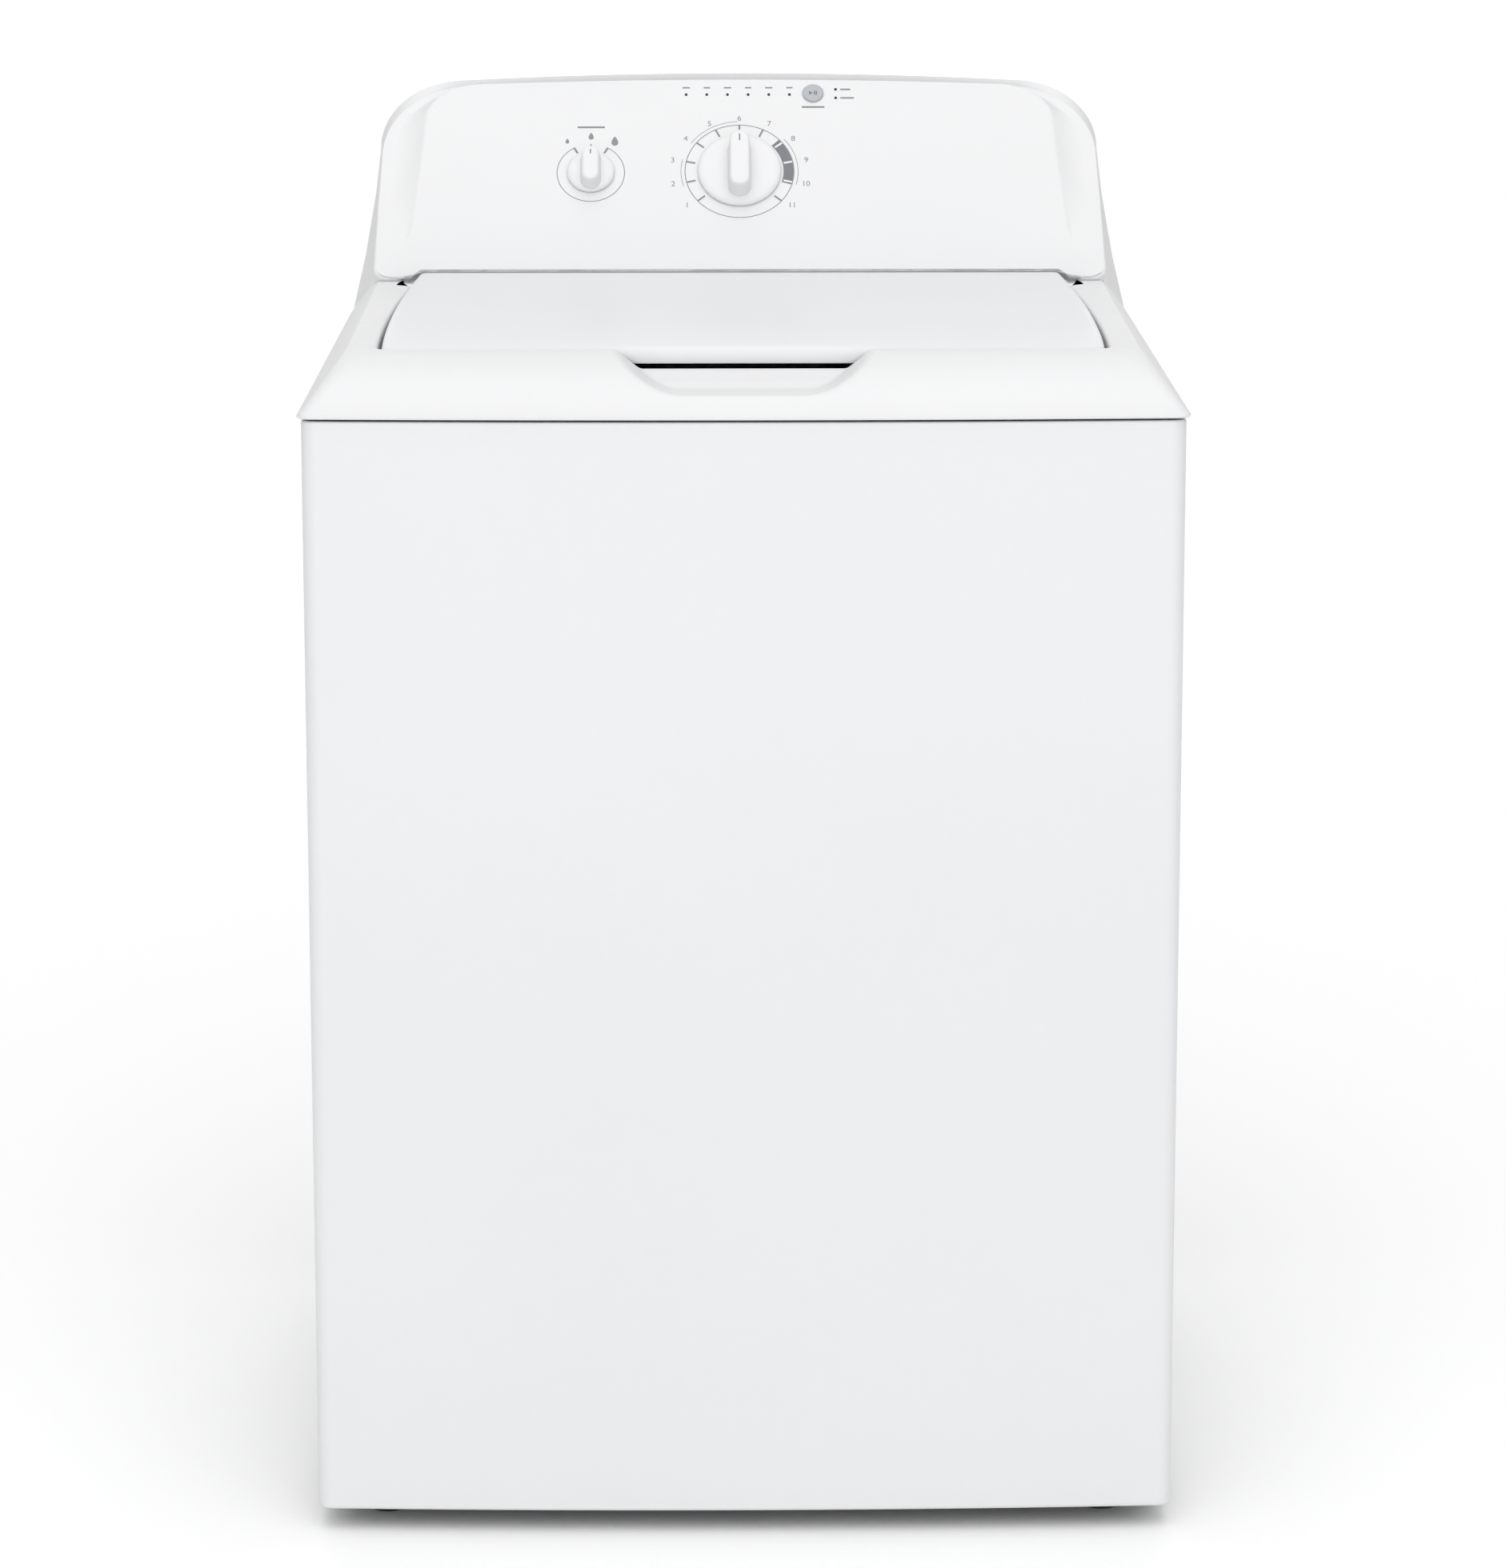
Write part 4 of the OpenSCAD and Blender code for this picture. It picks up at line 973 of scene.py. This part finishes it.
def numeral(text, u, v, size, mat, name):
    """A printed number lying on the face."""
    curve = bpy.data.curves.new(name + "_curve", "FONT")
    curve.body = text
    curve.size = size
    curve.align_x = "CENTER"
    curve.align_y = "CENTER"
    holder = add_object(name + "_holder", curve)
    bpy.context.view_layer.update()
    flat = bpy.data.meshes.new_from_object(holder)
    verts = [tuple(on_face(u + p.co.x, v + p.co.y, PRINT_H)) for p in flat.vertices]
    faces = [tuple(f.vertices) for f in flat.polygons]
    bpy.data.objects.remove(holder)
    make_piece(name, verts, faces, mat, "grey_plastic", "cabinet")


def panel_symbols():
    """Numbers round the dial and simple marks for the load sizes and the status lights."""
    number_r, drop_r, number_size = DIAL_R + 10, LOAD_R + 8, 7.5
    for i, a in enumerate(DIAL_TICKS):
        s, c = clock(a)
        name = "dial_number_%02d" % (i + 1)
        numeral(str(i + 1), number_r * s * 1.03, CYCLE_V + number_r * c * 0.94, number_size, "ink", name)
    marks = Shape()
    for a, size in ((-30, 2.6), (0, 3.6), (30, 4.8)):
        s, c = clock(a)
        drop = [(size * 0.8 * sin(t) * sin(t / 2), size * cos(t)) for t in turn_steps(28)]
        flat_mark(marks, drop, LOAD_U + drop_r * s * 1.1, LOAD_V + drop_r * c, PRINT_H)
    led_u, led_pitch, led_v = -46.7, 18.2, 184.2
    for i in range(6):
        half = 2.7 if i % 2 else 3.2
        flat_mark(marks, rectangle(-half, half, -0.7, 0.7), led_u + led_pitch * i, led_v, PRINT_H)
    option_u = 89
    for v, w in ((182.4, 9), (173.5, 12)):
        flat_mark(marks, rectangle(0, w, -0.8, 0.8), option_u, v, PRINT_H)
    for u, v, half in ((START_AT[0], START_AT[1] - 14, 10), (LOAD_U, LOAD_V + 47, 12)):
        flat_mark(marks, rectangle(-half, half, -0.9, 0.9), u, v, PRINT_H)
    marks.piece("panel_marks", "ink", "grey_plastic", "cabinet")


def start_button():
    """The dished button on its stem, its start and pause symbol, and the ring printed round it."""
    u, v = START_AT
    r, cap_low, stem_r, stem_low, symbol_h = 8.85, -3.8, 2.5, -13.0, 1.7
    profile = [(0.01, cap_low), (r, cap_low), (r, 0.9)]
    profile += [(r - 1.2 * (1 - cos(a)), 0.9 + 0.9 * sin(a)) for a in arc_steps(5)[1:]]
    profile += [(r - 2.2, 1.62), (r * 0.5, 1.46), (0.01, 1.42)]
    shape = Shape().loft(lathe(profile, on_face(u, v), 72, FACE_AXES))
    stem = [(0.01, stem_low), (stem_r, stem_low), (stem_r, cap_low), (0.01, cap_low)]
    shape.loft(lathe(stem, on_face(u, v), 24, FACE_AXES))
    shape.piece("start_button_cap", "silver", "button_silver", "start_button", ["start_button"], sharp=40)
    marks = Shape()
    flat_mark(marks, [(-3.4, -2), (-0.6, 0), (-3.4, 2)], u, v, symbol_h)
    for x in (0.9, 2.6):
        flat_mark(marks, rectangle(x, x + 0.9, -1.9, 1.9), u, v, symbol_h)
    marks.piece("start_symbol", "ink_dark", "grey_plastic", "start_button")
    ring = Shape()
    band(ring, u, v, r + 0.25, r + 1.0, -180, 180, PRINT_H, 72)
    ring.piece("start_button_ring", "ink_light", "grey_plastic", "cabinet")


# ---- basket, agitator and hoses
def basket():
    """Stainless wall pierced all over, with a pressed base."""
    radius = basket_high.x - 1
    low, high, base_z = basket_low.z + 14, basket_high.z - 4, basket_low.z + 1.4
    columns, rows, hole = 76, 26, 2.3
    shape = Shape()

    def wall_point(a, z):
        return (radius * cos(a), AXIS_Y + radius * sin(a), z)

    step_a, step_z = 2 * pi / columns, (high - low) / rows
    square = [(-1, -1), (0, -1), (1, -1), (1, 0), (1, 1), (0, 1), (-1, 1), (-1, 0)]
    for row in range(rows):
        shift = 0.5 * (row % 2)
        for col in range(columns):
            a0, z0 = (col + shift) * step_a, low + (row + 0.5) * step_z
            start = len(shape.verts)
            for sx, sz in square:
                shape.verts.append(wall_point(a0 + sx * step_a / 2, z0 + sz * step_z / 2))
            for sx, sz in square:
                k = hole / hypot(sx, sz)
                shape.verts.append(wall_point(a0 + sx * k / radius, z0 + sz * k))
            for k in range(8):
                m = (k + 1) % 8
                shape.faces.append((start + k, start + m, start + 8 + m, start + 8 + k))
    foot = [(radius, low), (radius - 1, low - 6), (radius - 5, low - 11), (radius - 12, basket_low.z + 1.6)]
    foot += [(radius * 0.75, base_z), (radius * 0.4, base_z), (30, base_z)]
    centre = Vector((0, AXIS_Y, 0))
    shape.loft(lathe(foot, centre, columns * 2))
    shape.loft(lathe([(radius, high), (radius, basket_high.z)], centre, columns * 2))
    obj = shape.piece(
        "basket_shell", "stainless", "stainless", "basket", ["basket"], sharp=50, fix_normals=False
    )
    solid = obj.modifiers.new("thickness", "SOLIDIFY")
    solid.thickness = 0.0009
    solid.offset = 0


def agitator():
    """A waisted post with four swept vanes over a wide skirt."""
    low, high = mm_box("agitator")
    centre = Vector((0, AXIS_Y, 0))
    rising = [
        (32, 2), (148, 2), (151, 3.5), (151.5, 6), (149, 10), (138, 17), (118, 24), (96, 31), (78, 42),
        (64, 60), (55, 90), (49, 130), (45, 190), (42, 260), (39.5, 330),
    ]
    profile = [(r, low.z + up) for r, up in rising]
    profile += [(r, high.z - down) for r, down in ((38.5, 12), (38.2, 3), (37, 0.6), (34, 0), (0.01, 0))]
    profile += [(31, low.z + 34), (0.01, low.z + 34)]
    shape = Shape().loft(lathe(profile, centre, 128))
    vane_edge = [
        (194, 4), (195, 10), (190, 20), (172, 31), (142, 43), (112, 64), (92, 96), (79, 150), (70, 220),
        (63, 290), (56, 340), (46, 372), (30, 386),
    ]
    for i in range(4):
        turn = Matrix.Rotation(radians(90 * i), 3, "Z")
        loops = []
        for k, (r, up) in enumerate(vane_edge):
            sweep = 5 * sin(pi * k / (len(vane_edge) - 1))
            near = [(20, 3.6), (r - 9, 3.6), (r - 3, 3.3), (r - 0.8, 2.2)]
            rows = near + [(r, 0)] + [(x, -y) for x, y in reversed(near)]
            loops.append([turn @ Vector((x, y + sweep, low.z + up)) + centre for x, y in rows])
        shape.loft(loops, cap_first=True, cap_last=True)
    shape.piece("agitator_post", "agitator", "agitator_plastic", "agitator", ["agitator"], sharp=48)
    cap_low, cap_high = mm_box("agitator_cap")
    r = cap_high.x
    cap = [(0.01, cap_low.z), (r - 1, cap_low.z), (r, cap_low.z + 1), (r, cap_high.z - 9)]
    cap += [(r - 8 * (1 - cos(a)), cap_high.z - 9 + 7 * sin(a)) for a in arc_steps(6)[1:]]
    cap += [(r - 14, cap_high.z - 1.2), (r - 16, cap_high.z - 4), (0.01, cap_high.z - 4.5)]
    post = Shape().loft(lathe(cap, centre, 96))
    grip = [
        [centre + Vector((x, y, cap_high.z - down)) for x, y in rounded_bar(4 - inset, 20 - inset)]
        for inset, down in ((0, 5), (0.3, 1.5), (1.2, 0.2))
    ]
    post.loft(grip, cap_last=True)
    post.piece("agitator_top_cap", "cap", "grey_plastic", "agitator", ["agitator_cap"], sharp=40)


COIL_R, WIRE_R = 10, 1.9


def coil_spring(x, y, z0, z1):
    """Loops of one wound spring: a round wire swept along a helix with closed ends."""
    turns = 7.5
    steps = int(turns * 26)
    loops = []
    for i in range(steps + 1):
        t = i / steps
        a = 2 * pi * turns * t
        z = mix(z0 + WIRE_R, z1 - WIRE_R, smoothstep(t) * 0.3 + t * 0.7)
        out = Vector((cos(a), sin(a), 0))
        centre = Vector((x, y, z)) + out * COIL_R
        loops.append([
            centre + out * (WIRE_R * cos(b)) + Vector((0, 0, WIRE_R * sin(b)))
            for b in turn_steps(10)
        ])
    return loops


def springs():
    """The four suspension springs, as fixed coils on the cabinet."""
    low, high = mm_box("suspension_springs")
    coil_out = 12
    shape = Shape()
    for x in (low.x + coil_out, high.x - coil_out):
        for y in (low.y + coil_out, high.y - coil_out):
            shape.loft(coil_spring(x, y, low.z, high.z), cap_first=True, cap_last=True)
    obj = shape.piece("coil_springs", "zinc", "zinc_steel", "cabinet", ["suspension_springs"], sharp=60)
    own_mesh(obj)


# The drain hose follows the same route as its solid, in millimetres
DRAIN_ROUTE = [
    (-180, -95, 208), (-181, -60, 208), (-195, 30, 206), (-225, 120, 206), (-250, 190, 210),
    (-262, 232, 228), (-264, 252, 262), (-262, 258, 320), (-262, 258, 430), (-262, 258, 540),
    (-262, 256, 650), (-260, 255, 715), (-256, 256, 745), (-252, 264, 770), (-250, 279, 779.5),
    (-250, 294, 780),
]


def spline(points, n):
    """Catmull-Rom points through a route."""
    out = []
    p = [Vector(q) for q in points]
    for i in range(len(p) - 1):
        a, b, c, d = p[max(i - 1, 0)], p[i], p[i + 1], p[min(i + 2, len(p) - 1)]
        for j in range(n):
            t = j / n
            out.append(0.5 * (2 * b + (c - a) * t + (2 * a - 5 * b + 4 * c - d) * t * t
                              + (3 * b - a - 3 * c + d) * t ** 3))
    out.append(p[-1])
    return out


def drain_hose():
    """Corrugated drain hose, crossing from the tub to the cabinet."""
    path = spline(DRAIN_ROUTE, 24)
    lengths = [0.0]
    for a, b in zip(path, path[1:]):
        lengths.append(lengths[-1] + (b - a).length)
    loops, pitch, cuff = [], 7.0, 26
    up = Vector((0.86, 0.31, 0.4))
    for i, p in enumerate(path):
        ahead = (path[min(i + 1, len(path) - 1)] - path[max(i - 1, 0)]).normalized()
        side = ahead.cross(up).normalized()
        other = ahead.cross(side)
        plain = min(lengths[i], lengths[-1] - lengths[i]) < cuff
        r = 11.6 if plain else 10.6 + 1.2 * sin(2 * pi * lengths[i] / pitch)
        loops.append([p + (side * cos(b) + other * sin(b)) * r for b in turn_steps(20)])
    obj = Shape().loft(loops, cap_first=True, cap_last=True).piece(
        "drain_hose_tube", "rubber_grey", "rubber_grey", None, ["drain_hose"], sharp=70
    )
    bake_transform(obj)


# ---- stage, lights and camera
def eased(tree, value, span, result):
    """A smooth step of a value from one strength to another."""
    node = tree.nodes.new("ShaderNodeMapRange")
    node.interpolation_type = "SMOOTHSTEP"
    put(node, From_Min=span[0], From_Max=span[1], To_Min=result[0], To_Max=result[1])
    tree.links.new(value, node.inputs["Value"])
    return node.outputs["Result"]


def stage():
    """The pale floor, and a studio world that is brightest in front and dims towards both sides."""
    mesh = bpy.data.meshes.new("floor")
    half = 14.0
    corners = [(x, y, 0) for x, y in rectangle(-half, half, -half, half)]
    mesh.from_pydata(corners, [], [(0, 1, 2, 3)])
    floor = add_object("floor", mesh)
    mat, tree, shader = new_material("floor_white", (0.97, 0.97, 0.97), 0.6)
    tinted(tree, shader, noise(tree, 0.6), (0.965, 0.965, 0.965), (0.975, 0.975, 0.975))
    mesh.materials.append(mat)
    world = bpy.data.worlds.new("studio")
    world.use_nodes = True
    tree = world.node_tree
    coord = tree.nodes.new("ShaderNodeTexCoord")
    split = tree.nodes.new("ShaderNodeSeparateXYZ")
    side = tree.nodes.new("ShaderNodeMath")
    side.operation = "ABSOLUTE"
    both = tree.nodes.new("ShaderNodeMath")
    both.operation = "MULTIPLY"
    tree.links.new(coord.outputs["Generated"], split.inputs["Vector"])
    tree.links.new(split.outputs["X"], side.inputs[0])
    wide = eased(tree, side.outputs["Value"], (0.2, 0.85), (1.0, 0.3))
    narrow = eased(tree, side.outputs["Value"], (0.15, 0.6), (1.0, 0.3))
    across = tree.nodes.new("ShaderNodeMix")
    tree.links.new(eased(tree, split.outputs["Y"], (-0.2, 0.5), (0.0, 1.0)), across.inputs[0])
    tree.links.new(wide, across.inputs[2])
    tree.links.new(narrow, across.inputs[3])
    behind = eased(tree, split.outputs["Y"], (-0.3, 0.6), (1.72, 1.16))
    tree.links.new(across.outputs[0], both.inputs[0])
    tree.links.new(behind, both.inputs[1])
    tree.links.new(both.outputs["Value"], tree.nodes["Background"].inputs["Strength"])
    put(tree.nodes["Background"], Color=(1, 1, 1, 1))
    bpy.context.scene.world = world
    bpy.context.scene.view_settings.view_transform = "Standard"


def soft_light(name, place, target, size, power):
    """A rectangular soft box aimed at a target."""
    data = bpy.data.lights.new(name, "AREA")
    data.shape = "RECTANGLE"
    data.size, data.size_y = size
    data.energy = power
    lamp = add_object(name, data)
    lamp.location = place
    lamp.rotation_mode = "QUATERNION"
    lamp.rotation_quaternion = (Vector(target) - Vector(place)).to_track_quat("-Z", "Y")


def lights():
    """A broad bank overhead and a low, weak one in front."""
    soft_light("top_bank", (0, -1.2, 3.6), (0, 0.1, 0.9), (3.2, 2.4), 4)
    soft_light("front_fill", (0, -3.4, 0.5), (0, -0.33, 0.0), (3.6, 0.6), 3)


def camera():
    """A long lens in front of the machine, looking a little down on it."""
    sensor, lens = 36, 122.95102
    data = bpy.data.cameras.new("camera")
    cam = add_object("camera", data)
    bpy.context.scene.camera = cam
    cam.location = (-0.027, -4.433, 1.488)
    pitch, yaw = radians(11.2), radians(-0.62)
    look = Vector((-sin(yaw) * cos(pitch), cos(yaw) * cos(pitch), -sin(pitch)))
    cam.rotation_mode = "QUATERNION"
    cam.rotation_quaternion = look.to_track_quat("-Z", "Y")
    data.sensor_width = sensor
    data.lens = lens
    data.shift_x = -0.0087
    data.shift_y = -0.05
    data.clip_start, data.clip_end = 0.05, 60


front_panel()
deck()
lid()
console_front()
console_body()
console_cover()
knob("cycle_dial", "knob", "cycle_knob", "cycle_knob", 0, CYCLE_V, 36.5, 19.5, 58, 24)
knob("load_dial", "knob", "load_knob", "load_knob", LOAD_U, LOAD_V, 20.75, 17, 37, 18)
dial_print()
panel_symbols()
start_button()
basket()
agitator()
springs()
drain_hose()
stage()
lights()
camera()
